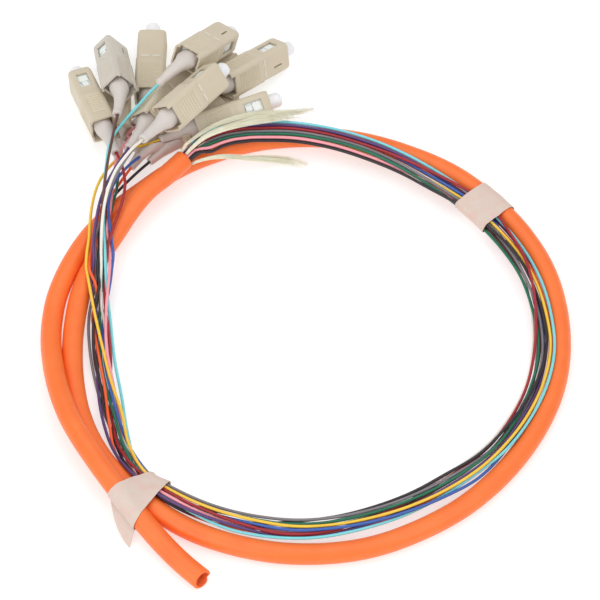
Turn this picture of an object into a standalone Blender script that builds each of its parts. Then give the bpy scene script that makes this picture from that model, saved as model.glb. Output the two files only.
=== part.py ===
"""Twelve-fibre optic patch cable, coiled: an orange round jacket of a turn and a quarter, and at its
stripped end twelve colour-coded fibres that follow the coil once round and end in beige push-pull
connectors with dust caps, heaped beside the coil. Metres, +Z up, standing on Z = 0.
"""

import math

import bpy
import numpy as np
from mathutils import Matrix, Vector

MM = 0.001

# The row's origin under the middle of the finished shape, as the routes below count it.
ORIGIN = (1.7 * MM, 0.6 * MM, 0.0)

# Cable
JACKET_RADIUS = 3.1 * MM
FIBRE_RADIUS = 0.45 * MM
PLAY = 0.3 * MM
TUBE_PLAY = 0.12 * MM
JACKET_POINTS = 80
START_POINTS = 6
START_LENGTH = 24.0 * MM
COIL_POINTS = 31
END_POINTS = 14
END_LENGTH = 60.0 * MM
END_STRAIGHT = 3.0 * MM
MOUTH_OUTER_COUNT = 9
MOUTH_OUTER_RADIUS = 1.6 * MM
MOUTH_INNER_COUNT = 3
MOUTH_INNER_RADIUS = 0.55 * MM
LANE_PITCH = 1.12 * MM
SPREAD_ROUNDS = 260
SETTLE_ROUNDS = 100

# Connector, along its own +X towards the mating face, which is at X = 0
GRIP_LENGTH = 24.5 * MM
GRIP_WIDTH = 9.0 * MM
GRIP_HEIGHT = 7.4 * MM
GRIP_WALL = 0.6 * MM
GRIP_FLARE = 0.15 * MM
GRIP_CHAMFER = 0.8 * MM
NOSE_LENGTH = 1.3 * MM
WINDOW_LENGTH = 6.0 * MM
WINDOW_HEIGHT = 3.6 * MM
WINDOW_FROM_FRONT = 2.6 * MM
NOTCH_DEPTH = 1.6 * MM
GRIP_SLIDE = 2.0 * MM
FRAME_RECESS = 0.4 * MM
BOOT_SEAT = 3.0 * MM
FRAME_BORE_RADIUS = 2.1 * MM
FRAME_BORE_DEPTH = 8.0 * MM
FERRULE_RADIUS = 1.25 * MM
BOOT_LENGTH = 14.5 * MM
BOOT_TIP_RADIUS = 1.25 * MM
# Along a boot, as shares of its length: how much of what its seat is wider and higher than its tip is left
BOOT_SHARES = (0.0, 0.18, 0.27, 0.42, 0.62, 1.0)
BOOT_WIDTH_LEFT = (1.0, 1.0, 0.73, 0.39, 0.195, 0.0)
BOOT_HEIGHT_LEFT = (1.0, 1.0, 0.81, 0.48, 0.26, 0.0)
CAP_HEAD_RADIUS = 2.4 * MM
CAP_HEAD_LENGTH = 4.3 * MM
CAP_SLEEVE_LENGTH = 5.0 * MM
CAP_END_WALL = 1.6 * MM

# Tape and yarn
TAPE_WIDTH = 12.0 * MM
TAPE_THICKNESS = 0.2 * MM
TAPE_PLAY = 0.25 * MM
TAPE_REACH = 14.0 * MM
TAPE_SIDES = 20
# Where the tapes are wound, in millimetres on the jacket's route
TAPE_RIGHT_MIDDLE = (58.0, 33.0, 3.7)
TAPE_LEFT_MIDDLE = (-46.2, -70.6, 3.7)
YARN_COLLAR_INNER = 2.3 * MM
YARN_COLLAR_OUTER = 3.0 * MM
YARN_COLLAR_DEPTH = 0.8 * MM
# For each tuft its place on the collar in degrees, its route, and its half widths along it, in mm
YARN_TUFTS = (
    (
        60,
        ((-26.0, 55.5, 12.8), (-16.0, 60.5, 11.2), (-6.0, 63.3, 8.6), (1.0, 67.0, 5.0), (6.0, 70.8, 2.0)),
        (0.3, 0.8, 1.5, 0.4),
    ),
    (
        100,
        ((-27.0, 51.3, 14.2), (-17.0, 56.5, 12.8), (-7.0, 60.0, 10.8), (2.0, 62.5, 8.8)),
        (0.3, 0.8, 1.4, 0.4),
    ),
    (
        195,
        ((-24.0, 46.5, 9.0), (-15.0, 49.0, 5.0), (-5.0, 50.5, 1.9), (4.0, 48.5, 1.2)),
        (0.3, 0.8, 1.6, 0.4),
    ),
)
TUFT_SHARES = (0.0, 0.3, 0.85, 1.0)
TUFT_HALF_HEIGHTS = (0.3, 0.5, 0.6, 0.3)

# Centre line of the jacket from its stripped end round to its cut stub, in millimetres
JACKET_ROUTE = (
    (-35, 45, 9.8), (-39, 40.5, 9.6), (-46, 34, 8.9), (-50, 29, 7.9), (-53.5, 23.5, 6.7), (-57.5, 17, 4.9),
    (-61, 11.5, 3.7), (-64, 5, 3.1), (-66, -4, 3.1), (-67, -16, 3.1), (-66.5, -28, 3.1), (-64.5, -40, 3.1),
    (-60.5, -51, 3.2), (-54.5, -61, 3.7), (-48, -68.5, 3.8), (-40, -75.5, 3.6), (-30, -81.5, 3.1),
    (-18, -86, 3.1), (-5, -88.5, 3.1), (9, -88.5, 3.1), (22, -86, 3.1), (35, -80.5, 3.1), (47, -73, 3.1),
    (58, -62.5, 3.1), (67, -50, 3.1), (73.5, -36, 3.1), (76.5, -22, 3.1), (76.5, -7, 3.1), (73.5, 8, 3.1),
    (67, 21.5, 3.4), (58, 33, 3.8), (47, 43.5, 3.4), (35, 50.5, 3.1), (22, 55.5, 3.1), (9, 58, 3.1),
    (-4, 58, 3.1), (-16, 56, 3.1), (-28, 51.5, 3.1), (-38, 46, 3.1), (-47, 38.5, 3.1), (-56, 30, 3.1),
    (-63.5, 20.5, 3.1), (-69, 9.5, 3.1), (-72.5, -2, 3.1), (-73.5, -14, 3.3), (-72.5, -25, 5.2),
    (-70, -37, 7.6), (-65.5, -49, 8.8), (-59, -60, 8.5),
    (-52, -70, 7.3), (-44, -80, 5.1), (-35.5, -89.5, 3.3),
    (-27, -97.5, 3.1),
)

# Middle of the fibre band, from the jacket's mouth once round the coil to the heap of connectors
BAND_ROUTE = (
    (-31, 49.5, 10.1), (-23.5, 54.3, 9.4), (-14, 57, 8.0), (-4, 57.5, 7.4), (8, 55.5, 7.2), (20, 51.5, 6.8),
    (32, 45.5, 6.2), (44, 37.5, 5.6), (54, 29.5, 5.2), (62, 18.5, 5.2), (68, 7, 5.2), (71, -6, 5.2),
    (72, -19, 5.2), (69.5, -33, 5.2), (63.5, -46, 5.2),
    (55, -57.5, 5.2), (43.5, -66.5, 5.2), (30, -74.5, 5.2),
    (15, -80, 5.4), (0, -82.5, 5.4), (-15, -80.5, 5.2),
    (-29, -76, 5.2), (-42, -68.5, 4.8), (-50.5, -57.5, 3.4),
    (-54.5, -43, 2.4), (-57, -31, 2.2), (-59, -18, 2.2), (-60, -6, 3.0), (-60, 4, 5.6),
)

# Colour of each fibre's coating, in the order of the colour code
FIBRE_COLOURS = {
    "blue": (0.045, 0.127, 0.456),
    "orange": (0.913, 0.127, 0.032),
    "green": (0.010, 0.156, 0.080),
    "brown": (0.127, 0.053, 0.047),
    "slate": (0.202, 0.188, 0.202),
    "white": (0.871, 0.831, 0.753),
    "red": (0.352, 0.017, 0.024),
    "black": (0.021, 0.019, 0.021),
    "yellow": (0.956, 0.611, 0.061),
    "violet": (0.102, 0.053, 0.188),
    "rose": (0.956, 0.352, 0.402),
    "aqua": (0.223, 0.716, 0.791),
}

# Order of the fibres across the band at points of its route: upper row from the jacket inwards, then lower
BAND_ORDERS = (
    (0, "aqua violet red slate green rose", "blue orange white yellow brown black"),
    (5, "aqua violet red slate green rose", "blue orange white yellow brown black"),
    (8, "red aqua blue yellow slate black", "violet orange white rose brown green"),
    (12, "aqua yellow black slate green red", "orange violet blue brown rose white"),
    (16, "blue yellow violet green slate black", "aqua orange rose brown red white"),
    (19, "aqua red blue yellow green slate", "violet orange rose brown white black"),
    (22, "black violet rose red yellow slate", "aqua orange brown green blue white"),
    (24, "violet black orange green blue yellow", "slate red brown white rose aqua"),
    (26, "slate black orange yellow rose red", "brown violet green blue white aqua"),
    (28, "yellow violet black white red rose", "orange slate brown green aqua blue"),
)

# Connectors that show, by fibre: middle of the mating face in millimetres, then heading, pitch and roll in
# degrees, then how far the boot bends down and to the left.
CONNECTORS = {
    "red": ((-68.5, 79.8, 4.6), (111, -9.7, 91), (0, 0)),
    "brown": ((-59.3, 90.8, 6.0), (100, -20, 49), (25, 0)),
    "rose": ((-46.2, 97.0, 4.0), (89, 0, 0), (0, 35)),
    "aqua": ((-23.1, 91.9, 10.7), (57, -26.5, 1.5), (60, 20)),
    "violet": ((-35.7, 78.5, 9.9), (63, -5, 42), (0, 0)),
    "white": ((-25.5, 69.3, 19.9), (52.5, -8, 48), (0, 0)),
    "slate": ((-6.0, 90.0, 4.9), (43.5, -12.5, 70), (0, 0)),
    "yellow": ((-10.1, 69.3, 5.9), (24, -1, 121), (0, 0)),
}
# Under the heap: the rear middle of each plain housing with its heading, then its boot's ends,
# in millimetres
HIDDEN = {
    "orange": ((-45.8, 56.3), 60, (-45.8, 56.3, 3.9), (-51.6, 46.3, 3.6)),
    "black": ((-38.0, 57.0), 50, (-38.0, 57.0, 3.9), (-46.0, 48.5, 3.6)),
    "green": ((-56.2, 60.0), 93, (-56.2, 60.0, 3.9), (-55.6, 48.5, 3.6)),
    "blue": ((-36.5, 69.5), 57, (-42.0, 56.5, 5.0), (-49.0, 48.0, 6.8)),
}
CORE_GAP = 0.4 * MM
# Opposite corners of a low block that joins the plain housings, in millimetres
CORE_LINK = ((-54.0, 55.0, 0.05), (-47.0, 61.0, 1.6))
FIBRE_EXIT = 7.0 * MM
# Points in millimetres that a fibre passes on its way under its neighbours to its boot
WAYPOINTS = {
    "rose": ((-56.5, 40.0, 8.0), (-54.5, 52.0, 7.0), (-52.5, 57.5, 5.0)),
}


def clear_scene():
    for obj in list(bpy.data.objects):
        bpy.data.objects.remove(obj, do_unlink=True)


def make_material(name, colour, roughness, metallic=0.0):
    """A Principled material of one colour."""
    material = bpy.data.materials.new(name)
    material.use_nodes = True
    shader = material.node_tree.nodes["Principled BSDF"]
    shader.inputs["Base Color"].default_value = (*colour, 1.0)
    shader.inputs["Roughness"].default_value = roughness
    shader.inputs["Metallic"].default_value = metallic
    material.diffuse_color = (*colour, 1.0)
    return material


def smooth_curve(points, count, start=(0, 0.0), end=(0, 0.0)):
    """Evenly spaced points on the Catmull-Rom curve through the given ones.

    start and end hold how many more points are spread over how long a stretch there.
    """
    points = np.asarray(points, float)
    ends = np.vstack([2 * points[0] - points[1], points, 2 * points[-1] - points[-2]])
    t = np.linspace(0, 1, 24, endpoint=False)[:, None]
    spans = []
    for a, b, c, d in zip(ends, ends[1:], ends[2:], ends[3:]):
        spans.append(
            0.5 * (2 * b + (c - a) * t + (2 * a - 5 * b + 4 * c - d) * t**2 + (3 * b - a - 3 * c + d) * t**3)
        )
    fine = np.vstack([*spans, points[-1:]])
    run = np.concatenate([[0], np.cumsum(np.linalg.norm(np.diff(fine, axis=0), axis=1))])
    wanted = np.concatenate([
        np.linspace(0, start[1], start[0], endpoint=False),
        np.linspace(start[1], run[-1] - end[1], count),
        np.linspace(run[-1], run[-1] - end[1], end[0], endpoint=False)[::-1],
    ])
    return np.column_stack([np.interp(wanted, run, fine[:, axis]) for axis in range(3)])


def unit(vector):
    return vector / np.linalg.norm(vector, axis=-1, keepdims=True)


def tube(name, points, radius, resolution, material):
    """A cord: a POLY curve with a round bevel and filled caps."""
    curve = bpy.data.curves.new(name, "CURVE")
    curve.dimensions = "3D"
    spline = curve.splines.new("POLY")
    spline.points.add(len(points) - 1)
    spline.points.foreach_set("co", np.column_stack([points, np.ones(len(points))]).ravel())
    curve.bevel_depth = radius
    curve.bevel_resolution = resolution
    curve.use_fill_caps = True
    curve.materials.append(material)
    obj = bpy.data.objects.new(name, curve)
    bpy.context.scene.collection.objects.link(obj)
    return obj


def mesh_object(name, vertices, faces, material, place=None):
    mesh = bpy.data.meshes.new(name)
    mesh.from_pydata([tuple(v) for v in vertices], [], faces)
    mesh.materials.append(material)
    mesh.update()
    obj = bpy.data.objects.new(name, mesh)
    bpy.context.scene.collection.objects.link(obj)
    if place is not None:
        obj.matrix_world = place
    return obj


def loft(rings):
    """Vertices and faces of the closed body through rings of equally many points, with flat ends.

    Each ring runs anticlockwise seen from the last ring's end.
    """
    count = len(rings[0])
    vertices = np.vstack(rings)
    faces = [tuple(range(count))[::-1]]
    for k in range(len(rings) - 1):
        for i in range(count):
            j = (i + 1) % count
            faces.append((k * count + i, k * count + j, (k + 1) * count + j, (k + 1) * count + i))
    faces.append(tuple(range((len(rings) - 1) * count, len(rings) * count)))
    return vertices, faces


def ring_loft(rings):
    """Vertices and faces of a closed ring body: the last ring joins the first."""
    count = len(rings[0])
    vertices = np.vstack(rings)
    faces = []
    for k in range(len(rings)):
        n = (k + 1) % len(rings)
        for i in range(count):
            j = (i + 1) % count
            faces.append((k * count + i, k * count + j, n * count + j, n * count + i))
    return vertices, faces


def round_section(x, width, height, sides):
    """An ellipse across the X axis, as points anticlockwise seen from +X."""
    angle = (np.arange(sides) + 0.5) * math.tau / sides
    return np.column_stack([np.full(sides, x), width / 2 * np.cos(angle), height / 2 * np.sin(angle)])


def box_section(x, width, height, cut):
    """A rectangle with cut corners across the X axis, as points anticlockwise seen from +X."""
    y, z = width / 2, height / 2
    corners = [
        (y, -z + cut), (y, z - cut), (y - cut, z), (-y + cut, z),
        (-y, z - cut), (-y, -z + cut), (-y + cut, -z), (y - cut, -z),
    ]
    return np.array([(x, *corner) for corner in corners])


def box_rings(low, high):
    """The two square ends of a box between two corners, across the X axis."""
    corners = [(low[1], low[2]), (high[1], low[2]), (high[1], high[2]), (low[1], high[2])]
    return [np.array([(x, y, z) for y, z in corners]) for x in (low[0], high[0])]


def box_cutter(name, low, high, place, material):
    """A hidden box between two corners, for Booleans."""
    vertices, faces = loft(box_rings(low, high))
    return hide(mesh_object(name, vertices, faces, material, place))


def hide(cutter):
    cutter.hide_render = True
    cutter.display_type = "WIRE"
    return cutter


def boolean(obj, other, operation):
    modifier = obj.modifiers.new(other.name, "BOOLEAN")
    modifier.operation = operation
    modifier.solver = "EXACT"
    modifier.object = other


def connector_place(front, turn):
    """The connector's frame: its mating face at front, its +X along the heading and pitch."""
    heading, pitch, roll = turn
    return (
        Matrix.Translation(Vector(front) * MM)
        @ Matrix.Rotation(math.radians(heading), 4, "Z")
        @ Matrix.Rotation(math.radians(-pitch), 4, "Y")
        @ Matrix.Rotation(math.radians(roll), 4, "X")
    )


def cavity_size():
    return GRIP_WIDTH - 2 * GRIP_WALL, GRIP_HEIGHT - 2 * GRIP_WALL


def make_grip(colour, place, material):
    """The sliding outer housing: a rectangular sleeve with a window in each narrow face."""
    cavity_width, cavity_height = cavity_size()
    inner_cut = GRIP_CHAMFER / 2
    nose = 2 * GRIP_CHAMFER
    middle = -GRIP_LENGTH / 2
    rings = [
        box_section(-GRIP_LENGTH, GRIP_WIDTH + 2 * GRIP_FLARE, GRIP_HEIGHT + 2 * GRIP_FLARE, GRIP_CHAMFER),
        box_section(middle, GRIP_WIDTH + 2 * GRIP_FLARE, GRIP_HEIGHT + 2 * GRIP_FLARE, GRIP_CHAMFER),
        box_section(middle + GRIP_FLARE, GRIP_WIDTH, GRIP_HEIGHT, GRIP_CHAMFER),
        box_section(-NOSE_LENGTH, GRIP_WIDTH, GRIP_HEIGHT, GRIP_CHAMFER),
        box_section(0, GRIP_WIDTH - nose / 3, GRIP_HEIGHT - nose / 3, GRIP_CHAMFER),
        box_section(0, cavity_width, cavity_height, inner_cut),
        box_section(-GRIP_LENGTH, cavity_width, cavity_height, inner_cut),
    ]
    vertices, faces = ring_loft(rings)
    grip = mesh_object("grip_" + colour, vertices, faces, material, place)
    window_back = -WINDOW_FROM_FRONT - WINDOW_LENGTH
    window = box_cutter(
        "window_cutter_" + colour,
        (window_back, -GRIP_WIDTH, -WINDOW_HEIGHT / 2),
        (-WINDOW_FROM_FRONT, GRIP_WIDTH, WINDOW_HEIGHT / 2),
        place,
        material,
    )
    boolean(grip, window, "DIFFERENCE")
    notch = box_cutter(
        "notch_cutter_" + colour,
        (-GRIP_LENGTH - NOTCH_DEPTH, -cavity_width / 2 + inner_cut, -GRIP_HEIGHT),
        (-GRIP_LENGTH + NOTCH_DEPTH, cavity_width / 2 - inner_cut, GRIP_HEIGHT),
        place,
        material,
    )
    boolean(grip, notch, "DIFFERENCE")
    return grip


def frame_rings():
    """Sections of the inner plug frame, from its rear face to its mating face."""
    cavity_width, cavity_height = cavity_size()
    width = cavity_width - 2 * PLAY
    height = cavity_height - 2 * PLAY
    rear = -GRIP_LENGTH + BOOT_SEAT + PLAY
    return [
        box_section(rear, width, height, GRIP_CHAMFER),
        box_section(-FRAME_RECESS, width, height, GRIP_CHAMFER),
    ]


def boot_line(bend):
    """Points and directions along the boot from its seat to its tip, in the connector's frame."""
    down, left = (math.radians(angle) for angle in bend)
    point = np.array((-GRIP_LENGTH + BOOT_SEAT, 0.0, 0.0))
    line = [(0.0, point, np.array((-1.0, 0.0, 0.0)))]
    steps = 8
    for k in range(steps):
        share = max(0.0, min(1.0, (k - 1.5) / 5))
        a, b = down * share, left * share
        heading = np.array((-math.cos(a) * math.cos(b), math.sin(b), -math.sin(a)))
        point = point + heading * BOOT_LENGTH / steps
        line.append(((k + 1) / steps, point, heading))
    return line


def boot_size(share):
    """Width and height of a boot at a share of its length, from its seat to its tip."""
    tip = 2 * BOOT_TIP_RADIUS
    seat_width = cavity_size()[0] - 4 * PLAY
    seat_height = cavity_size()[1] - 2 * PLAY
    width = tip + (seat_width - tip) * np.interp(share, BOOT_SHARES, BOOT_WIDTH_LEFT)
    height = tip + (seat_height - tip) * np.interp(share, BOOT_SHARES, BOOT_HEIGHT_LEFT)
    return width, height


def boot_rings(bend, sides=10, gap=0.0):
    """Sections of the strain relief boot, from its tip to its seat on the frame."""
    angle = (np.arange(sides) + 0.5) * math.tau / sides
    rings = []
    for share, point, heading in boot_line(bend)[::-1]:
        width, height = (size + 2 * gap for size in boot_size(share))
        side = unit(np.cross(heading, (0, 0, 1)))
        up = np.cross(side, heading)
        rings.append(
            point - heading * gap * (share == 0) + heading * gap * (share == 1)
            + np.outer(np.cos(angle) * width / 2, side) + np.outer(np.sin(angle) * height / 2, up)
        )
    return rings


def bore_cutter(colour, place, material):
    """The round gap between the ferrule and the plug frame, open at the mating face."""
    sides = 12
    back = -FRAME_RECESS - FRAME_BORE_DEPTH
    outer, inner = 2 * FRAME_BORE_RADIUS, 2 * FERRULE_RADIUS
    rings = [
        round_section(back, outer, outer, sides),
        round_section(PLAY, outer, outer, sides),
        round_section(PLAY, inner, inner, sides),
        round_section(back, inner, inner, sides),
    ]
    vertices, faces = ring_loft(rings)
    return hide(mesh_object("bore_cutter_" + colour, vertices, faces, material, place))


def make_frame(colour, place, material):
    """The white inner plug frame with its ferrule."""
    vertices, faces = loft(frame_rings())
    frame = mesh_object("plug_frame_" + colour, vertices, faces, material, place)
    boolean(frame, bore_cutter(colour, place, material), "DIFFERENCE")
    return frame


def make_boot(colour, place, bend, material):
    vertices, faces = loft(boot_rings(bend))
    return mesh_object("boot_" + colour, vertices, faces, material, place)


def hidden_place(rear, heading):
    """The frame of a plain housing that lies flat on the floor."""
    turn = math.radians(heading)
    front = (rear[0] * MM + math.cos(turn) * GRIP_LENGTH, rear[1] * MM + math.sin(turn) * GRIP_LENGTH)
    return Matrix.Translation((*front, GRIP_HEIGHT / 2 + 0.05 * MM)) @ Matrix.Rotation(turn, 4, "Z")


def make_core(material):
    """The four connectors under the heap as one plain core, kept clear of those that show."""
    core = None
    for colour, (rear, heading, base, tip) in HIDDEN.items():
        rings = [box_section(x, GRIP_WIDTH, GRIP_HEIGHT, GRIP_CHAMFER) for x in (-GRIP_LENGTH, 0)]
        vertices, faces = loft(rings)
        housing = mesh_object(
            "hidden_housing_" + colour, vertices, faces, material, hidden_place(rear, heading)
        )
        base, tip = np.array(base) * MM, np.array(tip) * MM
        along = unit(tip - base)
        side = unit(np.cross(along, (0, 0, 1)))
        up = np.cross(side, along)
        angle = (np.arange(10) + 0.5) * math.tau / 10
        rings = []
        for share in (-0.2, 0.1, 0.3, 0.6, 1.0):
            radius = sum(boot_size(share)) / 4
            middle = base + (tip - base) * share
            rings.append(middle + radius * (np.outer(np.cos(angle), -side) + np.outer(np.sin(angle), up)))
        vertices, faces = loft(rings)
        boot = mesh_object("hidden_boot_" + colour, vertices, faces, material)
        if core is None:
            core = housing
            core.name = "hidden_connectors"
        else:
            boolean(core, hide(housing), "UNION")
        boolean(core, hide(boot), "UNION")
    low, high = (np.array(corner) * MM for corner in CORE_LINK)
    vertices, faces = loft(box_rings(low, high))
    boolean(core, hide(mesh_object("core_link", vertices, faces, material)), "UNION")
    for colour, (front, turn, bend) in CONNECTORS.items():
        place = connector_place(front, turn)
        width = GRIP_WIDTH + 2 * (GRIP_FLARE + CORE_GAP)
        height = GRIP_HEIGHT + 2 * (GRIP_FLARE + CORE_GAP)
        rear = -GRIP_LENGTH - GRIP_SLIDE - CORE_GAP
        rings = [box_section(x, width, height, GRIP_CHAMFER) for x in (rear, CORE_GAP)]
        vertices, faces = loft(rings)
        cleared = hide(mesh_object("clear_of_grip_" + colour, vertices, faces, material, place))
        boolean(core, cleared, "DIFFERENCE")
        rings = boot_rings(bend, 10, CORE_GAP)
        beyond = unit(rings[0].mean(axis=0) - rings[1].mean(axis=0)) * FIBRE_EXIT
        vertices, faces = loft([rings[0] + beyond] + rings[1:])
        cleared = hide(mesh_object("clear_of_boot_" + colour, vertices, faces, material, place))
        boolean(core, cleared, "DIFFERENCE")
    return core


def make_cap(colour, place, material):
    """The dust cap: a round head in front of the grip and a sleeve over the ferrule."""
    sides = 10
    sleeve = FRAME_BORE_RADIUS - PLAY
    bore = FERRULE_RADIUS + 0.8 * PLAY
    front = PLAY + CAP_HEAD_LENGTH
    shape = (
        (front - CAP_END_WALL, bore), (-CAP_SLEEVE_LENGTH, bore),
        (-CAP_SLEEVE_LENGTH, sleeve), (PLAY, sleeve),
        (PLAY, CAP_HEAD_RADIUS), (0.7 * front, CAP_HEAD_RADIUS), (0.9 * front, 0.88 * CAP_HEAD_RADIUS),
        (front, 0.6 * CAP_HEAD_RADIUS),
    )
    rings = [round_section(x, 2 * radius, 2 * radius, sides) for x, radius in shape]
    vertices, faces = loft(rings)
    return mesh_object("dust_cap_" + colour, vertices, faces, material, place)


def closest_points(a0, a1, b0, b1):
    """Shares along two sets of segments where each pair comes closest."""
    u, v, w = a1 - a0, b1 - b0, a0 - b0
    uu, uv, vv = (u * u).sum(1), (u * v).sum(1), (v * v).sum(1)
    uw, vw = (u * w).sum(1), (v * w).sum(1)
    s = np.clip((uv * vw - vv * uw) / np.maximum(uu * vv - uv * uv, 1e-18), 0, 1)
    t = np.clip((uv * s + vw) / vv, 0, 1)
    s = np.clip((uv * t - uw) / uu, 0, 1)
    return s, t


def boot_tip(colour):
    """Where a fibre enters its boot, and the direction from there into the boot."""
    if colour in HIDDEN:
        base, tip = (np.array(end) * MM for end in HIDDEN[colour][2:])
        axis = unit(base - tip)
        return tip - axis * PLAY, axis
    front, turn, bend = CONNECTORS[colour]
    place = np.array(connector_place(front, turn))
    _, point, heading = boot_line(bend)[-1]
    return place[:3, :3] @ (point + heading * PLAY) + place[:3, 3], -place[:3, :3] @ heading


def housings():
    """The middle, axes and half sizes of every housing, which the fibres keep clear of."""
    places = [connector_place(front, turn) for front, turn, _ in CONNECTORS.values()]
    places += [hidden_place(rear, heading) for rear, heading, _, _ in HIDDEN.values()]
    found = []
    for place in places:
        axes = np.array(place)[:3, :3]
        length = GRIP_LENGTH + GRIP_SLIDE
        middle = np.array(place.translation) - axes[:, 0] * length / 2
        half = np.array((length / 2, GRIP_WIDTH / 2 + GRIP_FLARE, GRIP_HEIGHT / 2 + GRIP_FLARE))
        found.append((middle, axes, half))
    return found


def boot_segments():
    """Straight pieces of every boot, with a radius, and the fibre that each belongs to."""
    pieces = []
    colours = list(FIBRE_COLOURS)
    for colour, (front, turn, bend) in CONNECTORS.items():
        place = np.array(connector_place(front, turn))
        line = [(share, place[:3, :3] @ point + place[:3, 3]) for share, point, _ in boot_line(bend)[1:]]
        for (share, a), (_, b) in zip(line, line[1:]):
            pieces.append((a, b, max(boot_size(share)) / 2 + TUBE_PLAY, colours.index(colour)))
    for colour, (_, _, base, tip) in HIDDEN.items():
        base, tip = np.array(base) * MM, np.array(tip) * MM
        ends = [(k / 4, base + (tip - base) * k / 4) for k in range(5)]
        for (share, a), (_, b) in zip(ends, ends[1:]):
            pieces.append((a, b, sum(boot_size(share)) / 4 + TUBE_PLAY / 2, colours.index(colour)))
    return pieces


def push_from_boxes(points, boxes, clear):
    """How far to move each point so that it lies outside every box."""
    push = np.zeros_like(points)
    for middle, axes, half in boxes:
        local = (points - middle) @ axes
        over = np.abs(local) - half
        outside = np.linalg.norm(np.maximum(over, 0), axis=1)
        depth = clear - np.where(outside > 0, outside, over.max(axis=1))
        away = np.where((outside > 0)[:, None], np.maximum(over, 0), over == over.max(axis=1, keepdims=True))
        away = unit(away + 1e-12) * np.sign(local)
        push += np.where((depth > 0)[:, None], depth[:, None] * (away @ axes.T), 0)
    return push


def spread_apart(fibres, jacket, rounds):
    """Moves crossing fibres clear of each other, of the jacket, of the connectors and of the floor.

    The first two and last two points of each fibre stay where its ends hold them.
    """
    boxes = housings()
    boots = boot_segments()
    tail = START_POINTS + COIL_POINTS - 2
    count, length, _ = fibres.shape
    fixed = np.zeros((count, length, 1))
    fixed[:, 2:-2] = 1
    start = np.array([(f, k) for f in range(count) for k in range(length - 1)])
    first, second = np.triu_indices(len(start), 1)
    other = start[first, 0] != start[second, 0]
    first, second = first[other], second[other]
    apart = 2 * FIBRE_RADIUS + TUBE_PLAY
    clear = JACKET_RADIUS + FIBRE_RADIUS + 2 * TUBE_PLAY
    target = fibres.copy()
    segments = len(start)
    jacket_first, jacket_second = np.meshgrid(np.arange(segments), np.arange(len(jacket) - 1), indexing="ij")
    jacket_first, jacket_second = jacket_first.ravel(), jacket_second.ravel()
    reach = 0.02
    for number in range(rounds):
        a0 = fibres[start[:, 0], start[:, 1]]
        a1 = fibres[start[:, 0], start[:, 1] + 1]
        middle = (a0 + a1) / 2
        if number % 15 == 0:
            jacket_middle = (jacket[:-1] + jacket[1:]) / 2
            near = np.linalg.norm(middle[first] - middle[second], axis=1) < reach
            pairs = first[near], second[near]
            near = np.linalg.norm(middle[jacket_first] - jacket_middle[jacket_second], axis=1) < reach
            touches = jacket_first[near], jacket_second[near]
        if number < rounds - SETTLE_ROUNDS:
            moved = fibres - target
            beside = (moved[:, :-2] + moved[:, 2:]) / 2
            back = 0.12 * (beside - moved[:, 1:-1]) - 0.03 * moved[:, 1:-1]
            fibres[:, 1:-1] += fixed[:, 1:-1] * back
        push = np.zeros_like(fibres)
        i, j = pairs
        s, t = closest_points(a0[i], a1[i], a0[j], a1[j])
        gap = (a0[i] + (a1[i] - a0[i]) * s[:, None]) - (a0[j] + (a1[j] - a0[j]) * t[:, None])
        distance = np.linalg.norm(gap, axis=1)
        close = distance < apart
        step = (gap / np.maximum(distance, 1e-9)[:, None] * (apart - distance)[:, None] / 2)[close]
        i, j, s, t = i[close], j[close], s[close][:, None], t[close][:, None]
        for index, share, sign in ((i, s, 1), (j, t, -1)):
            np.add.at(push, (start[index, 0], start[index, 1]), sign * step * (1 - share))
            np.add.at(push, (start[index, 0], start[index, 1] + 1), sign * step * share)
        i, j = touches
        s, t = closest_points(a0[i], a1[i], jacket[j], jacket[j + 1])
        gap = (a0[i] + (a1[i] - a0[i]) * s[:, None]) - (jacket[j] + (jacket[j + 1] - jacket[j]) * t[:, None])
        distance = np.linalg.norm(gap, axis=1)
        close = distance < clear
        step = (gap / np.maximum(distance, 1e-9)[:, None] * (clear - distance)[:, None])[close]
        i, s = i[close], s[close][:, None]
        np.add.at(push, (start[i, 0], start[i, 1]), step * (1 - s))
        np.add.at(push, (start[i, 0], start[i, 1] + 1), step * s)
        fibres += fixed * push * 0.8
        near_end = fibres[:, tail:]
        for share in (0.0, 0.5):
            here = near_end[:, :-1] * (1 - share) + near_end[:, 1:] * share
            shift = push_from_boxes(here.reshape(-1, 3), boxes, FIBRE_RADIUS + 2 * TUBE_PLAY)
            shift = shift.reshape(here.shape)
            for a, b, radius, own in boots:
                along = b - a
                t = np.clip((here - a) @ along / (along @ along), 0, 1)
                gap = here - a - t[..., None] * along
                distance = np.linalg.norm(gap, axis=2, keepdims=True)
                depth = radius + FIBRE_RADIUS + 2 * TUBE_PLAY - distance
                depth[own, -3:] = 0
                shift += np.where(depth > 0, gap / np.maximum(distance, 1e-9) * depth, 0)
            near_end[:, :-1] += fixed[:, tail:-1] * shift * 0.6
            if share:
                near_end[:, 1:] += fixed[:, tail + 1:] * shift * 0.6
        fibres[..., 2] = np.maximum(fibres[..., 2], FIBRE_RADIUS + TUBE_PLAY)
    return fibres


def mouth_places(jacket):
    """Where each fibre leaves the jacket's end, in rings round its axis."""
    out = unit(jacket[0] - jacket[1])
    side = unit(np.cross(out, (0, 0, 1)))
    up = np.cross(side, out)
    face = jacket[0] + out * PLAY
    places = []
    for count, radius in ((MOUTH_OUTER_COUNT, MOUTH_OUTER_RADIUS), (MOUTH_INNER_COUNT, MOUTH_INNER_RADIUS)):
        for k in range(count):
            angle = (k + 0.5) * math.tau / count
            places.append(face + radius * (math.cos(angle) * side + math.sin(angle) * up))
    return places, out


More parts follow.
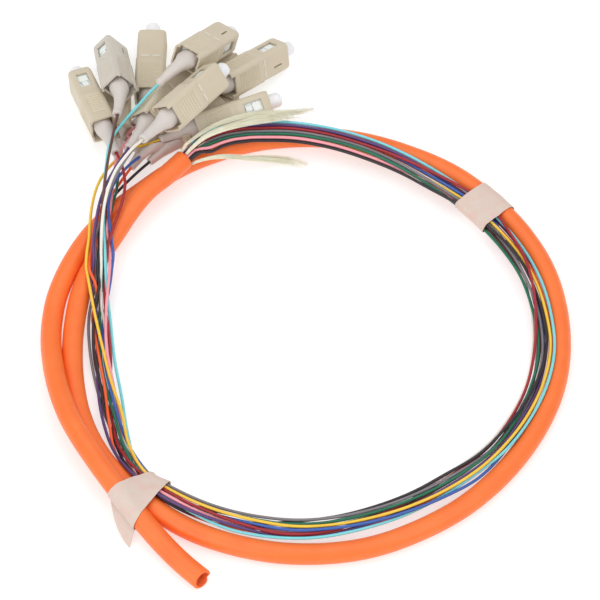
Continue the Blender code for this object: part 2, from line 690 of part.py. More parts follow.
def band_lanes(band):
    """For each fibre, its place in the band at every point of the band's route."""
    along = unit(np.gradient(band, axis=0))
    inward = unit(np.column_stack([along[:, 1], -along[:, 0], np.zeros(len(along))]))
    lanes = {}
    for colour in FIBRE_COLOURS:
        stations, across, above = [], [], []
        for station, upper, lower in BAND_ORDERS:
            row = 0 if colour in upper.split() else 1
            column = (lower if row else upper).split().index(colour)
            stations.append(station)
            across.append((column - 2.5 + 0.5 * row) * LANE_PITCH)
            above.append((0.5 - row) * LANE_PITCH)
        index = np.arange(len(band))
        sideways = np.interp(index, stations, across)[:, None]
        upward = np.interp(index, stations, above)[:, None]
        lanes[colour] = band + inward * sideways + np.array((0, 0, 1.0)) * upward
    return lanes


def bend_to(start, heading, end, arrival, count):
    """Points on a smooth bend that leaves start along heading and reaches end along arrival."""
    reach = 0.42 * np.linalg.norm(end - start)
    a, b, c, d = start, start + heading * reach, end - arrival * reach, end
    t = np.linspace(0, 1, count)[:, None]
    return a * (1 - t) ** 3 + 3 * b * (1 - t) ** 2 * t + 3 * c * (1 - t) * t**2 + d * t**3


def match_mouth(places, goals):
    """The places reordered so that each fibre leaves the mouth on the side where its lane lies."""
    order = list(places)
    better = True
    while better:
        better = False
        for i in range(len(order)):
            for j in range(i):
                gain = (order[i] - order[j]) @ (goals[j] - goals[i])
                if gain > 1e-12:
                    order[i], order[j] = order[j], order[i]
                    better = True
    return order


def fibre_routes(jacket):
    """Centre lines of the twelve fibres, from the jacket's mouth to the tips of the boots."""
    band = np.array(BAND_ROUTE) * MM
    lanes = band_lanes(band)
    places, out = mouth_places(jacket)
    heading = unit(band[-1] - band[-2])
    routes = []
    order = match_mouth(places, [lanes[colour][1] for colour in FIBRE_COLOURS])
    for colour, mouth in zip(FIBRE_COLOURS, order):
        lane = lanes[colour]
        tip, axis = boot_tip(colour)
        waypoints = [np.array(point) * MM for point in WAYPOINTS.get(colour, ())]
        last = waypoints[-1] if waypoints else lane[-1]
        leaving = unit(tip - last) if waypoints else heading
        bend = bend_to(last, leaving, tip - axis * END_STRAIGHT, axis, 6)
        route = np.vstack([mouth, mouth + out * 2.0 * MM, lane, *waypoints, bend[1:], tip])
        route = smooth_curve(route, COIL_POINTS, (START_POINTS, START_LENGTH), (END_POINTS, END_LENGTH))
        route[1] = mouth + out * np.linalg.norm(route[1] - mouth)
        route[-2] = tip - axis * np.linalg.norm(route[-2] - tip)
        routes.append(route)
    return spread_apart(np.array(routes), jacket, SPREAD_ROUNDS)


def hull_outline(centre, along, circles, gap):
    """Corners of the tight outline round circles that cross a plane, seen along the cable."""
    side = unit(np.cross((0, 0, 1), along))
    up = np.cross(along, side)
    angle = np.arange(TAPE_SIDES) * math.tau / TAPE_SIDES
    directions = np.column_stack([np.cos(angle), np.sin(angle)])
    flat = np.array([((point - centre) @ side, (point - centre) @ up) for point, _ in circles])
    radii = np.array([radius for _, radius in circles])
    reach = (directions @ flat.T + radii).max(axis=1) + gap
    corners = []
    for k in range(TAPE_SIDES):
        n = (k + 1) % TAPE_SIDES
        corner = np.linalg.solve(directions[[k, n]], reach[[k, n]])
        corners.append(centre + corner[0] * side + corner[1] * up)
    return np.array(corners)


def crossing(points, centre, along, reach):
    """Points where a polyline crosses the plane through centre, near it."""
    height = (points - centre) @ along
    found = []
    for k in np.nonzero(height[:-1] * height[1:] <= 0)[0]:
        share = height[k] / (height[k] - height[k + 1])
        point = points[k] + share * (points[k + 1] - points[k])
        if np.linalg.norm(point - centre) < reach:
            found.append(point)
    return found


def nearest_spot(points, place):
    """The spot of a polyline that lies nearest to a place, and the line's direction there."""
    steps = points[1:] - points[:-1]
    share = np.clip(((place - points[:-1]) * steps).sum(axis=1) / (steps * steps).sum(axis=1), 0, 1)
    spots = points[:-1] + share[:, None] * steps
    k = np.linalg.norm(spots - place, axis=1).argmin()
    return spots[k], unit(steps[k])


def make_tape(name, middle, cords, material):
    """A paper tape wound once round the cords that pass a point of the jacket."""
    centre, along = nearest_spot(cords[0][0], middle)
    outer, inner = [], []
    for share in (-0.5, 0.0, 0.5):
        here = centre + along * share * TAPE_WIDTH
        circles = []
        for points, radius in cords:
            for point in crossing(points, here, along, TAPE_REACH):
                circles.append((point, radius))
        inner.append(hull_outline(here, along, circles, TAPE_PLAY))
        outer.append(hull_outline(here, along, circles, TAPE_PLAY + TAPE_THICKNESS))
    vertices, faces = ring_loft(outer + inner[::-1])
    return mesh_object(name, vertices, faces, material)


def make_tuft(name, start, route, half_widths, material):
    """A flat oval strand of yarn that begins at start and follows the route, widest where it frays."""
    points = np.vstack([start, np.array(route) * MM])
    points = smooth_curve(points, 9)
    along = unit(np.gradient(points, axis=0))
    side = unit(np.cross((0, 0, 1), along))
    up = np.cross(along, side)
    angle = np.arange(6) * math.tau / 6
    share = np.linspace(0, 1, len(points))
    width = np.interp(share, TUFT_SHARES, half_widths) * MM
    height = np.interp(share, TUFT_SHARES, TUFT_HALF_HEIGHTS) * MM
    rings = []
    for k, point in enumerate(points):
        sideways_step = np.outer(np.cos(angle) * width[k], side[k])
        upward_step = np.outer(np.sin(angle) * height[k], up[k])
        rings.append(point + sideways_step + upward_step)
    vertices, faces = loft(rings)
    return mesh_object(name, vertices, faces, material)


def make_yarn(jacket, material):
    """The aramid yarn: a collar round the fibres at the stripped end, and three frayed tufts."""
    out = unit(jacket[0] - jacket[1])
    side = unit(np.cross((0, 0, 1), out))
    up = np.cross(out, side)
    angle = (np.arange(16) + 0.5) * math.tau / 16
    circle = np.outer(np.cos(angle), side) + np.outer(np.sin(angle), up)
    near, far = PLAY, PLAY + YARN_COLLAR_DEPTH
    rings = []
    outer, inner = YARN_COLLAR_OUTER, YARN_COLLAR_INNER
    for depth, radius in ((near, outer), (far, outer), (far, inner), (near, inner)):
        rings.append(jacket[0] + out * depth + circle * radius)
    vertices, faces = ring_loft(rings)
    collar = mesh_object("aramid_yarn", vertices, faces, material)
    ring = (YARN_COLLAR_OUTER + YARN_COLLAR_INNER) / 2
    for number, (turn, route, half_widths) in enumerate(YARN_TUFTS):
        way = math.cos(math.radians(turn)) * side + math.sin(math.radians(turn)) * up
        start = jacket[0] + out * (near + YARN_COLLAR_DEPTH / 2) + way * ring
        start = np.vstack([start, start + out * 3 * MM + way * 1.0 * MM])
        boolean(collar, hide(make_tuft("tuft_%d" % number, start, route, half_widths, material)), "UNION")
    return collar


def main():
    clear_scene()
    jacket_paint = make_material("jacket_orange", (1.0, 0.178, 0.030), 0.45)
    grip_paint = make_material("grip_beige", (0.590, 0.521, 0.402), 0.45)
    frame_paint = make_material("frame_white", (0.85, 0.88, 0.83), 0.4)
    boot_paint = make_material("boot_grey", (0.65, 0.58, 0.56), 0.55)
    cap_paint = make_material("cap_clear", (0.78, 0.80, 0.82), 0.25)
    tape_paint = make_material("paper_tape", (0.72, 0.60, 0.54), 0.8)
    jacket = smooth_curve(np.array(JACKET_ROUTE) * MM, JACKET_POINTS)
    tube("jacket", jacket, JACKET_RADIUS, 3, jacket_paint)
    fibres = fibre_routes(jacket)
    for (colour, rgb), points in zip(FIBRE_COLOURS.items(), fibres):
        tube("fibre_" + colour, points, FIBRE_RADIUS, 2, make_material("coating_" + colour, rgb, 0.4))
    for colour, (front, turn, bend) in CONNECTORS.items():
        place = connector_place(front, turn)
        make_grip(colour, place, grip_paint)
        make_cap(colour, place, cap_paint)
        make_frame(colour, place, frame_paint)
        make_boot(colour, place, bend, boot_paint)
    make_core(boot_paint)
    make_yarn(jacket, make_material("aramid", (0.76, 0.69, 0.40), 0.7))
    cords = [(jacket, JACKET_RADIUS)] + [(points, FIBRE_RADIUS) for points in fibres]
    make_tape("tape_right", np.array(TAPE_RIGHT_MIDDLE) * MM, cords, tape_paint)
    make_tape("tape_left", np.array(TAPE_LEFT_MIDDLE) * MM, cords, tape_paint)
    for obj in bpy.context.scene.objects:
        obj.location -= Vector(ORIGIN)


main()
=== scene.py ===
"""Looks for the coiled fibre optic patch cable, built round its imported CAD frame.

The jacket, the twelve coated fibres, the push-pull connectors, the paper tape and the aramid
yarn each have a class. Lengths are in metres unless a name or a comment says millimetres.
"""
import logging
import math
from dataclasses import dataclass, field
from enum import Enum
from typing import Callable, Sequence

import bpy
import numpy as np
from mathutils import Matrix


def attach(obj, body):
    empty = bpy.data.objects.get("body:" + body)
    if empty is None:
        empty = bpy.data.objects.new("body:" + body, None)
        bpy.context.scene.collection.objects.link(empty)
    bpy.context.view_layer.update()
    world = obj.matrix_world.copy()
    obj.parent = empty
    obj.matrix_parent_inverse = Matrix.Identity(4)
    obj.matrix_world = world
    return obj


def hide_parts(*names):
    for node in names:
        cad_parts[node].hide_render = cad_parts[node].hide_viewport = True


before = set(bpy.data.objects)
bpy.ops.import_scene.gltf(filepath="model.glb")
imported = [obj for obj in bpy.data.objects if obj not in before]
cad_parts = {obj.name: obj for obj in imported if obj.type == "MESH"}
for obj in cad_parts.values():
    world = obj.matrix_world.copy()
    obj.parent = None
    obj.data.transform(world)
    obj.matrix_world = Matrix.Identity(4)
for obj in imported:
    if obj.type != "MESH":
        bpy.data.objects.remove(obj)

LOG = logging.getLogger("patch_cable")

MM = 0.001
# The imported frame's origin, in the plan that the places below are measured in.
ORIGIN = np.array((1.7, 0.6, 0.0)) * MM
FIXED_BODY = "cable"
# Corners of a CAD node that agree to this many decimals of a metre are one corner.
PLACE_DIGITS = 6
SEAM_REACH = 0.000002
SCUFF_SCALE = 500.0
PLASTIC_IOR = 1.47
# Socket numbers of the Mix node in its colour mode, where several sockets share a name.
MIX_FIRST, MIX_SECOND, MIX_RESULT = 6, 7, 2

# Each visible connector: its mating face in mm, its heading, pitch and roll, and how far its boot
# bends down and to the left, in degrees.
CONNECTOR_PLACES = {
    "red": ((-68.5, 79.8, 4.6), (111.0, -9.7, 91.0), (0.0, 0.0)),
    "brown": ((-59.3, 90.8, 6.0), (100.0, -20.0, 49.0), (25.0, 0.0)),
    "rose": ((-46.2, 97.0, 4.0), (89.0, 0.0, 0.0), (0.0, 35.0)),
    "aqua": ((-23.1, 91.9, 10.7), (57.0, -26.5, 1.5), (60.0, 20.0)),
    "violet": ((-35.7, 78.5, 9.9), (63.0, -5.0, 42.0), (0.0, 0.0)),
    "white": ((-25.5, 69.3, 19.9), (52.5, -8.0, 48.0), (0.0, 0.0)),
    "slate": ((-6.0, 90.0, 4.9), (43.5, -12.5, 70.0), (0.0, 0.0)),
    "yellow": ((-10.1, 69.3, 5.9), (24.0, -1.0, 121.0), (0.0, 0.0)),
}
# Housings with a slit in the wide face that shows, and the one in a greyer plastic.
SLIT_HOUSINGS = ("brown", "aqua", "slate")
GREYER_HOUSING = "brown"
# Caps that stay with the cable, because the heap keeps them from coming off.
HELD_CAPS = ("violet",)
# Boots of the covered connectors: the middle of the seat and of the tip, in mm.
COVERED_BOOTS = {
    "orange": ((-45.8, 56.3, 3.9), (-51.6, 46.3, 3.6)),
    "black": ((-38.0, 57.0, 3.9), (-46.0, 48.5, 3.6)),
    "green": ((-56.2, 60.0, 3.9), (-55.6, 48.5, 3.6)),
    "blue": ((-42.0, 56.5, 5.0), (-49.0, 48.0, 6.8)),
}


# Arrays and meshes


def planned(places: Sequence) -> np.ndarray:
    """Places of the plan, in millimetres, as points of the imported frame."""
    return np.array(places) * MM - ORIGIN


def unit(vectors: np.ndarray) -> np.ndarray:
    """The vectors at length one, along the last axis."""
    vectors = np.asarray(vectors, float)
    return vectors / np.linalg.norm(vectors, axis=-1, keepdims=True)


def plane_turn(degrees: float, first: int, second: int) -> np.ndarray:
    """The matrix that turns one axis towards another.

    Args:
        degrees: how far it turns.
        first: the number of the axis that is turned.
        second: the number of the axis that it is turned towards.

    Returns:
        A matrix of three by three.
    """
    angle = math.radians(degrees)
    matrix = np.eye(3)
    matrix[first, first] = matrix[second, second] = math.cos(angle)
    matrix[first, second] = -math.sin(angle)
    matrix[second, first] = math.sin(angle)
    return matrix


def linear(rgb: Sequence[int]) -> tuple[float, float, float, float]:
    """A colour given in 0 to 255 steps, as the linear values that a shader takes.

    Args:
        rgb: red, green and blue from 0 to 255.

    Returns:
        Red, green, blue and an alpha of one.
    """
    share = np.asarray(rgb, float) / 255
    value = np.where(share <= 0.04045, share / 12.92, ((share + 0.055) / 1.055) ** 2.4)
    return (*[float(v) for v in value], 1.0)


def grid_faces(rows: int, columns: int, closed: bool) -> np.ndarray:
    """Four-cornered faces between the points of a grid that is stored row by row.

    Args:
        rows: how many rows of points there are.
        columns: how many points a row has.
        closed: whether the last column joins the first.

    Returns:
        One line of four point numbers for each face, wound so that a row that runs anticlockwise
        about the direction of the rows faces outwards.
    """
    across = columns if closed else columns - 1
    row, column = np.meshgrid(np.arange(rows - 1), np.arange(across), indexing="ij")
    here = row * columns + column
    beside = row * columns + (column + 1) % columns
    return np.stack([here, beside, beside + columns, here + columns], axis=-1).reshape(-1, 4)


def end_fan(ring: np.ndarray, pole: int, facing_back: bool) -> np.ndarray:
    """Three-cornered faces from a ring of points to a pole, which close the end of a tube.

    Args:
        ring: the numbers of the ring's points.
        pole: the number of the point in its middle.
        facing_back: whether the faces look against the direction of the rows.

    Returns:
        One line of three point numbers for each face.
    """
    following = np.roll(ring, -1)
    order = [following, ring] if facing_back else [ring, following]
    return np.column_stack([*order, np.full(len(ring), pole)])


def tube_faces(rows: int, sides: int, flipped: bool = False) -> list[np.ndarray]:
    """The faces of rings that are stored row by row and followed by a pole for each end.

    Args:
        rows: how many rings there are.
        sides: how many points a ring has.
        flipped: whether the rings run clockwise about the direction of the rows.

    Returns:
        The faces between the rings, those of the first end and those of the last.
    """
    ring = np.arange(sides)
    pole = rows * sides
    wall = grid_faces(rows, sides, True)
    return [
        wall[:, ::-1] if flipped else wall,
        end_fan(ring, pole, not flipped),
        end_fan(ring + pole - sides, pole + 1, flipped),
    ]


def make_object(name: str, points: np.ndarray, faces: Sequence[np.ndarray]) -> bpy.types.Object:
    """Puts points and faces into a new mesh object that stands at the origin.

    Args:
        name: the piece's name.
        points: one line for each point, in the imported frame.
        faces: arrays of faces, each with as many columns as its faces have corners.

    Returns:
        The object, linked to the scene.
    """
    mesh = bpy.data.meshes.new(name)
    mesh.vertices.add(len(points))
    mesh.vertices.foreach_set("co", np.ascontiguousarray(points, np.float32).ravel())
    corners = np.concatenate([part.ravel() for part in faces]).astype(np.int32)
    sizes = np.concatenate([np.full(len(part), part.shape[1], np.int32) for part in faces])
    starts = np.concatenate([[0], np.cumsum(sizes)[:-1]]).astype(np.int32)
    mesh.loops.add(len(corners))
    mesh.loops.foreach_set("vertex_index", corners)
    mesh.polygons.add(len(sizes))
    mesh.polygons.foreach_set("loop_start", starts)
    mesh.polygons.foreach_set("loop_total", sizes)
    mesh.polygons.foreach_set("use_smooth", np.ones(len(sizes), bool))
    mesh.update(calc_edges=True)
    piece = bpy.data.objects.new(name, mesh)
    bpy.context.scene.collection.objects.link(piece)
    return piece


def sharpen(piece: bpy.types.Object, angle_degrees: float) -> None:
    """Keeps every edge crisp whose faces meet at more than an angle, and shades the rest smoothly."""
    piece.data.set_sharp_from_angle(angle=math.radians(angle_degrees))


def settle(piece: bpy.types.Object) -> None:
    """Applies a piece's modifiers, so that its mesh is final.

    Args:
        piece: the piece, whose mesh is replaced.
    """
    graph = bpy.context.evaluated_depsgraph_get()
    mesh = bpy.data.meshes.new_from_object(piece.evaluated_get(graph))
    piece.modifiers.clear()
    piece.data = mesh


def close_seams(piece: bpy.types.Object) -> None:
    """Makes points that lie on one another one point.

    Args:
        piece: the piece, whose mesh is replaced.
    """
    weld = piece.modifiers.new("weld", "WELD")
    weld.merge_threshold = SEAM_REACH
    settle(piece)


def curve_through(points: np.ndarray, spacing: float) -> np.ndarray:
    """Points at even spacing on a smooth curve through the given ones.

    Between two points the curve is the cubic whose slope at each is half the step from the point
    before to the point after.

    Args:
        points: the points that the curve passes.
        spacing: the distance between two results.

    Returns:
        The evenly spaced points, the first and the last as given.
    """
    points = np.asarray(points, float)
    padded = np.vstack([2 * points[0] - points[1], points, 2 * points[-1] - points[-2]])
    steps = 12
    t = (np.arange(steps) / steps)[None, :, None]
    p0, p1, p2, p3 = (padded[k:len(padded) - 3 + k][:, None, :] for k in range(4))
    fine = 0.5 * (
        2 * p1 + (p2 - p0) * t + (2 * p0 - 5 * p1 + 4 * p2 - p3) * t**2
        + (3 * p1 - p0 - 3 * p2 + p3) * t**3
    )
    fine = np.vstack([fine.reshape(-1, 3), points[-1]])
    length = np.concatenate([[0.0], np.cumsum(np.linalg.norm(np.diff(fine, axis=0), axis=1))])
    wanted = np.linspace(0.0, length[-1], max(3, int(round(length[-1] / spacing)) + 1))
    return np.column_stack([np.interp(wanted, length, fine[:, k]) for k in range(3)])


def path_length(points: np.ndarray) -> float:
    """The length of a line through points."""
    return float(np.linalg.norm(np.diff(points, axis=0), axis=1).sum())


def path_frames(points: np.ndarray) -> tuple[np.ndarray, np.ndarray, np.ndarray]:
    """Three directions at each point of a path.

    Args:
        points: the path.

    Returns:
        The direction along the path, the level one at right angles to it, and the one at right
        angles to both, which is upwards.
    """
    along = unit(np.gradient(points, axis=0))
    side = unit(np.cross((0.0, 0.0, 1.0), along))
    return along, side, np.cross(along, side)


def ring_angles(sides: int) -> np.ndarray:
    """Even angles once round a ring, in radians."""
    return np.arange(sides) * math.tau / sides


def spokes(side: np.ndarray, up: np.ndarray, angle: np.ndarray) -> np.ndarray:
    """Directions round each point of a path: the angle's cosine sideways plus its sine upwards."""
    cosine, sine = np.cos(angle)[None, :, None], np.sin(angle)[None, :, None]
    return cosine * side[:, None, :] + sine * up[:, None, :]


def swept(points: np.ndarray, radii: np.ndarray, sides: int) -> np.ndarray:
    """Rings of points round a path: centre plus radius times a direction round it.

    Args:
        points: the path.
        radii: the radius at each point of it.
        sides: how many points a ring has.

    Returns:
        An array of rings by sides by three.
    """
    _, side, up = path_frames(points)
    return points[:, None, :] + np.asarray(radii)[:, None, None] * spokes(side, up, ring_angles(sides))


def turned(profile: Sequence[tuple[float, float]], angle: np.ndarray) -> np.ndarray:
    """Rings about the x axis: for each place and radius, the radius times cosine and sine.

    Args:
        profile: for each ring its place on the axis and its radius.
        angle: the angles of a ring's points.

    Returns:
        An array of rings by points by three.
    """
    x, radius = (np.array(column)[:, None] for column in zip(*profile))
    return np.stack([np.repeat(x, len(angle), 1), radius * np.cos(angle), radius * np.sin(angle)], axis=-1)


def merged_corners(mesh: bpy.types.Mesh) -> tuple[np.ndarray, np.ndarray]:
    """The corners of a mesh of loose triangles, with those at one place merged.

    Args:
        mesh: a CAD node's mesh, which stays as it is.

    Returns:
        The merged corners, and for each corner of the mesh the number of its merged one.
    """
    corners = np.empty(len(mesh.vertices) * 3, np.float32)
    mesh.vertices.foreach_get("co", corners)
    places = np.round(corners.reshape(-1, 3), PLACE_DIGITS)
    merged, number = np.unique(places, axis=0, return_inverse=True)
    return merged, number.ravel()


def centre_line(node: str, start: np.ndarray, radius: float) -> np.ndarray:
    """The route of a round tube among the CAD nodes, from the end nearest to a point.

    The tube is rings of corners that are joined only to the rings beside them, so the rings are
    found one after another from the end ring, and the middle of each is a point of the route.

    Args:
        node: the CAD node.
        start: a point near the end that the route starts from.
        radius: the tube's radius.

    Returns:
        The route's points.
    """
    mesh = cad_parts[node].data
    corners, number = merged_corners(mesh)
    edges = np.empty(len(mesh.edges) * 2, np.int32)
    mesh.edges.foreach_get("vertices", edges)
    edges = number[edges].reshape(-1, 2)
    nearest = corners[np.linalg.norm(corners - start, axis=1).argmin()]
    just_over_a_diameter = 2.1 * radius
    ring = np.linalg.norm(corners - nearest, axis=1) < just_over_a_diameter
    seen = ring.copy()
    middles = []
    while ring.any():
        middles.append(corners[ring].mean(axis=0))
        touched = np.zeros(len(corners), bool)
        touched[edges[ring[edges[:, 0]], 1]] = True
        touched[edges[ring[edges[:, 1]], 0]] = True
        ring = touched & ~seen
        seen |= ring
    return np.array(middles)


# Finishes


class NodeSheet:
    """A short way to add and join the nodes of a material or a node group."""

    def __init__(self, tree: bpy.types.NodeTree) -> None:
        """Starts on a tree that may already hold nodes."""
        self.tree = tree

    def add(
        self, kind: str, inputs: dict[str | int, object] | None = None, **settings: object
    ) -> bpy.types.Node:
        """Adds a node.

        Args:
            kind: the node's type name.
            inputs: for an input's name or number, its value or the output that feeds it.
            settings: the node's own properties.

        Returns:
            The new node.
        """
        node = self.tree.nodes.new(kind)
        for name, value in settings.items():
            setattr(node, name, value)
        for name, value in (inputs or {}).items():
            if isinstance(value, bpy.types.NodeSocket):
                self.tree.links.new(value, node.inputs[name])
            else:
                node.inputs[name].default_value = value
        return node


def new_group(
    name: str, inputs: dict[str, float | tuple], outputs: dict[str, str]
) -> tuple[NodeSheet, bpy.types.Node, bpy.types.Node]:
    """A shader node group with named sockets.

    Args:
        name: the group's name.
        inputs: for each input's name its default, a number or a colour.
        outputs: for each output's name its socket type.

    Returns:
        A sheet on the group, its input node and its output node.
    """
    tree = bpy.data.node_groups.new(name, "ShaderNodeTree")
    for label, default in inputs.items():
        kind = "NodeSocketColor" if isinstance(default, tuple) else "NodeSocketFloat"
        socket = tree.interface.new_socket(name=label, in_out="INPUT", socket_type=kind)
        socket.default_value = default
    for label, kind in outputs.items():
        tree.interface.new_socket(name=label, in_out="OUTPUT", socket_type=kind)
    sheet = NodeSheet(tree)
    return sheet, sheet.add("NodeGroupInput"), sheet.add("NodeGroupOutput")


def make_mottle_group() -> bpy.types.NodeTree:
    """Two colours mixed by soft noise, for moulded plastic, coatings and paper.

    Returns:
        The group.
    """
    grey = (0.8, 0.8, 0.8, 1.0)
    sheet, given, result = new_group(
        "soft_mottle",
        {"Colour": grey, "Shade": grey, "Scale": 200.0, "Amount": 0.5},
        {"Colour": "NodeSocketColor"},
    )
    place = sheet.add("ShaderNodeTexCoord")
    noise = sheet.add(
        "ShaderNodeTexNoise",
        {
            "Vector": place.outputs["Object"], "Scale": given.outputs["Scale"],
            "Detail": 4.0, "Roughness": 0.6,
        },
    )
    spread = sheet.add(
        "ShaderNodeMapRange",
        {
            "Value": noise.outputs["Fac"], "From Min": 0.35, "From Max": 0.68,
            "To Min": 0.0, "To Max": given.outputs["Amount"],
        },
    )
    mix = sheet.add(
        "ShaderNodeMix",
        {
            "Factor": spread.outputs["Result"],
            MIX_FIRST: given.outputs["Colour"], MIX_SECOND: given.outputs["Shade"],
        },
        data_type="RGBA",
    )
    sheet.tree.links.new(mix.outputs[MIX_RESULT], result.inputs["Colour"])
    return sheet.tree


def make_scuff_group() -> bpy.types.NodeTree:
    """Roughness that varies with fine scuffs, and the height of a moulded surface's fine grain.

    Returns:
        The group.
    """
    sheet, given, result = new_group(
        "handled_surface",
        {"Roughness": 0.4, "Spread": 0.1, "Grain Scale": 3000.0, "Scuff Scale": 400.0},
        {"Roughness": "NodeSocketFloat", "Height": "NodeSocketFloat"},
    )
    place = sheet.add("ShaderNodeTexCoord")
    scuffs = sheet.add(
        "ShaderNodeTexNoise",
        {
            "Vector": place.outputs["Object"], "Scale": given.outputs["Scuff Scale"],
            "Detail": 6.0, "Roughness": 0.7,
        },
    )
    smoothest, roughest = (
        sheet.add(
            "ShaderNodeMath", {0: given.outputs["Roughness"], 1: given.outputs["Spread"]}, operation=way
        )
        for way in ("SUBTRACT", "ADD")
    )
    spread = sheet.add(
        "ShaderNodeMapRange",
        {
            "Value": scuffs.outputs["Fac"], "From Min": 0.3, "From Max": 0.7,
            "To Min": smoothest.outputs[0], "To Max": roughest.outputs[0],
        },
    )
    grain = sheet.add(
        "ShaderNodeTexNoise",
        {
            "Vector": place.outputs["Object"], "Scale": given.outputs["Grain Scale"],
            "Detail": 2.0, "Roughness": 0.5,
        },
    )
    sheet.tree.links.new(spread.outputs["Result"], result.inputs["Roughness"])
    sheet.tree.links.new(grain.outputs["Fac"], result.inputs["Height"])
    return sheet.tree


@dataclass(frozen=True)
class PlasticFinish:
    """A moulded, extruded or coated plastic, or a paper or thread that scatters light softly."""

    name: str
    colour: tuple[int, int, int]
    shade: tuple[int, int, int]
    amount: float = 0.5
    mottle_scale: float = 250.0
    roughness: float = 0.4
    spread: float = 0.08
    grain_scale: float = 3000.0
    grain_height: float = 0.00001
    sheen: float = 0.0
    scatter: float = 0.0
    scatter_depth: float = 0.001

    def material(self, mottle: bpy.types.NodeTree, surface: bpy.types.NodeTree) -> bpy.types.Material:
        """Builds the material.

        Args:
            mottle: the group that mixes the two colours.
            surface: the group that gives roughness and grain.

        Returns:
            The new material.
        """
        material = bpy.data.materials.new(self.name)
        material.use_nodes = True
        sheet = NodeSheet(material.node_tree)
        shader = material.node_tree.nodes["Principled BSDF"]
        colours = sheet.add(
            "ShaderNodeGroup",
            {
                "Colour": linear(self.colour), "Shade": linear(self.shade),
                "Scale": self.mottle_scale, "Amount": self.amount,
            },
            node_tree=mottle,
        )
        skin = sheet.add(
            "ShaderNodeGroup",
            {
                "Roughness": self.roughness, "Spread": self.spread,
                "Grain Scale": self.grain_scale, "Scuff Scale": SCUFF_SCALE,
            },
            node_tree=surface,
        )
        bump = sheet.add(
            "ShaderNodeBump",
            {"Height": skin.outputs["Height"], "Strength": 1.0, "Distance": self.grain_height},
        )
        links = material.node_tree.links
        links.new(colours.outputs["Colour"], shader.inputs["Base Color"])
        links.new(skin.outputs["Roughness"], shader.inputs["Roughness"])
        links.new(bump.outputs["Normal"], shader.inputs["Normal"])
        shader.inputs["IOR"].default_value = PLASTIC_IOR
        shader.inputs["Sheen Weight"].default_value = self.sheen
        if self.scatter:
            shader.inputs["Subsurface Weight"].default_value = self.scatter
            shader.inputs["Subsurface Scale"].default_value = self.scatter_depth
        return material


class Finish(Enum):
    """The finishes of the parts that aren't fibres."""

    JACKET = PlasticFinish(
        "orange_jacket_skin", (253, 124, 54), (244, 105, 40), mottle_scale=90.0,
        roughness=0.38, grain_scale=1400.0, grain_height=0.00002,
    )
    BORE = PlasticFinish(
        "jacket_inside", (255, 122, 62), (236, 96, 44), amount=0.7, mottle_scale=400.0, roughness=0.6,
    )
    HOUSING = PlasticFinish(
        "beige_housing", (211, 199, 176), (203, 190, 166), mottle_scale=120.0,
        roughness=0.42, spread=0.07, grain_scale=2600.0,
    )
    GREY_HOUSING = PlasticFinish(
        "greyer_housing", (208, 200, 187), (198, 190, 177), mottle_scale=120.0,
        roughness=0.44, spread=0.07, grain_scale=2600.0,
    )
    # The raised bars at the housing's step: their paler tint is a painted highlight on their edges.
    RIDGE_HIGHLIGHT = PlasticFinish(
        "ridge_painted_highlight", (226, 221, 208), (216, 208, 193), amount=0.4, mottle_scale=300.0,
        roughness=0.35,
    )
    FRAME = PlasticFinish(
        "white_plug_frame", (244, 247, 244), (232, 239, 235), mottle_scale=200.0,
        roughness=0.35, spread=0.06, scatter=0.1,
    )
    BOOT = PlasticFinish(
        "grey_boot_rubber", (214, 206, 200), (204, 195, 189), mottle_scale=160.0,
        roughness=0.5, grain_scale=2200.0,
    )
    CAP = PlasticFinish(
        "clear_dust_cap", (243, 243, 245), (232, 233, 237), amount=0.4, mottle_scale=200.0,
        roughness=0.32, spread=0.06, scatter=0.15,
    )
    TAPE = PlasticFinish(
        "pink_paper_tape", (219, 203, 191), (223, 184, 173), amount=0.6, mottle_scale=260.0,
        roughness=0.75, grain_scale=1500.0, grain_height=0.00005,
    )
    YARN = PlasticFinish(
        "pale_aramid", (247, 246, 226), (240, 235, 202), amount=0.6, mottle_scale=350.0,
        roughness=0.5, spread=0.1, sheen=0.3,
    )


# Each fibre's coating: its colour and the shade that mottles it.
COATINGS = {
    "blue": ((62, 104, 186), (50, 88, 168)),
    "orange": ((250, 104, 52), (236, 86, 38)),
    "green": ((28, 114, 86), (18, 94, 70)),
    "brown": ((106, 68, 62), (88, 54, 50)),
    "slate": ((132, 127, 132), (112, 108, 114)),
    "white": ((242, 238, 228), (228, 222, 208)),
    "red": ((166, 38, 48), (146, 28, 38)),
    "black": ((44, 39, 45), (30, 27, 32)),
    "yellow": ((252, 206, 70), (240, 188, 48)),
    "violet": ((94, 68, 124), (78, 54, 108)),
    "rose": ((250, 164, 174), (238, 144, 156)),
    "aqua": ((132, 221, 229), (108, 205, 216)),
}


class Wardrobe:
    """Makes each finish's material once and hands it out."""

    def __init__(self) -> None:
        """Builds the two shared node groups."""
        self.mottle = make_mottle_group()
        self.surface = make_scuff_group()
        self.made: dict[str, bpy.types.Material] = {}

    def get(self, finish: PlasticFinish) -> bpy.types.Material:
        """The material of a finish."""
        if finish.name not in self.made:
            self.made[finish.name] = finish.material(self.mottle, self.surface)
        return self.made[finish.name]

    def coating(self, colour: str) -> bpy.types.Material:
        """The material of a fibre's coloured coating.

        Args:
            colour: the fibre's colour name.

        Returns:
            The material.
        """
        main, shade = COATINGS[colour]
        finish = PlasticFinish(
            "coating_" + colour, main, shade, mottle_scale=150.0,
            roughness=0.36, spread=0.06, grain_scale=2500.0, grain_height=0.000008,
        )
        return self.get(finish)


def dress(
    piece: bpy.types.Object, materials: Sequence[bpy.types.Material], body: str
) -> None:
    """Gives a piece its materials and the body that it rides on, and logs it.

    Args:
        piece: the new piece.
        materials: its materials, in the order of its face indices.
        body: the CAD body that it moves with.
    """
    for material in materials:
        piece.data.materials.append(material)
    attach(piece, body)
    LOG.info("%s: %d points, rides on %s", piece.name, len(piece.data.vertices), body)


# Cables


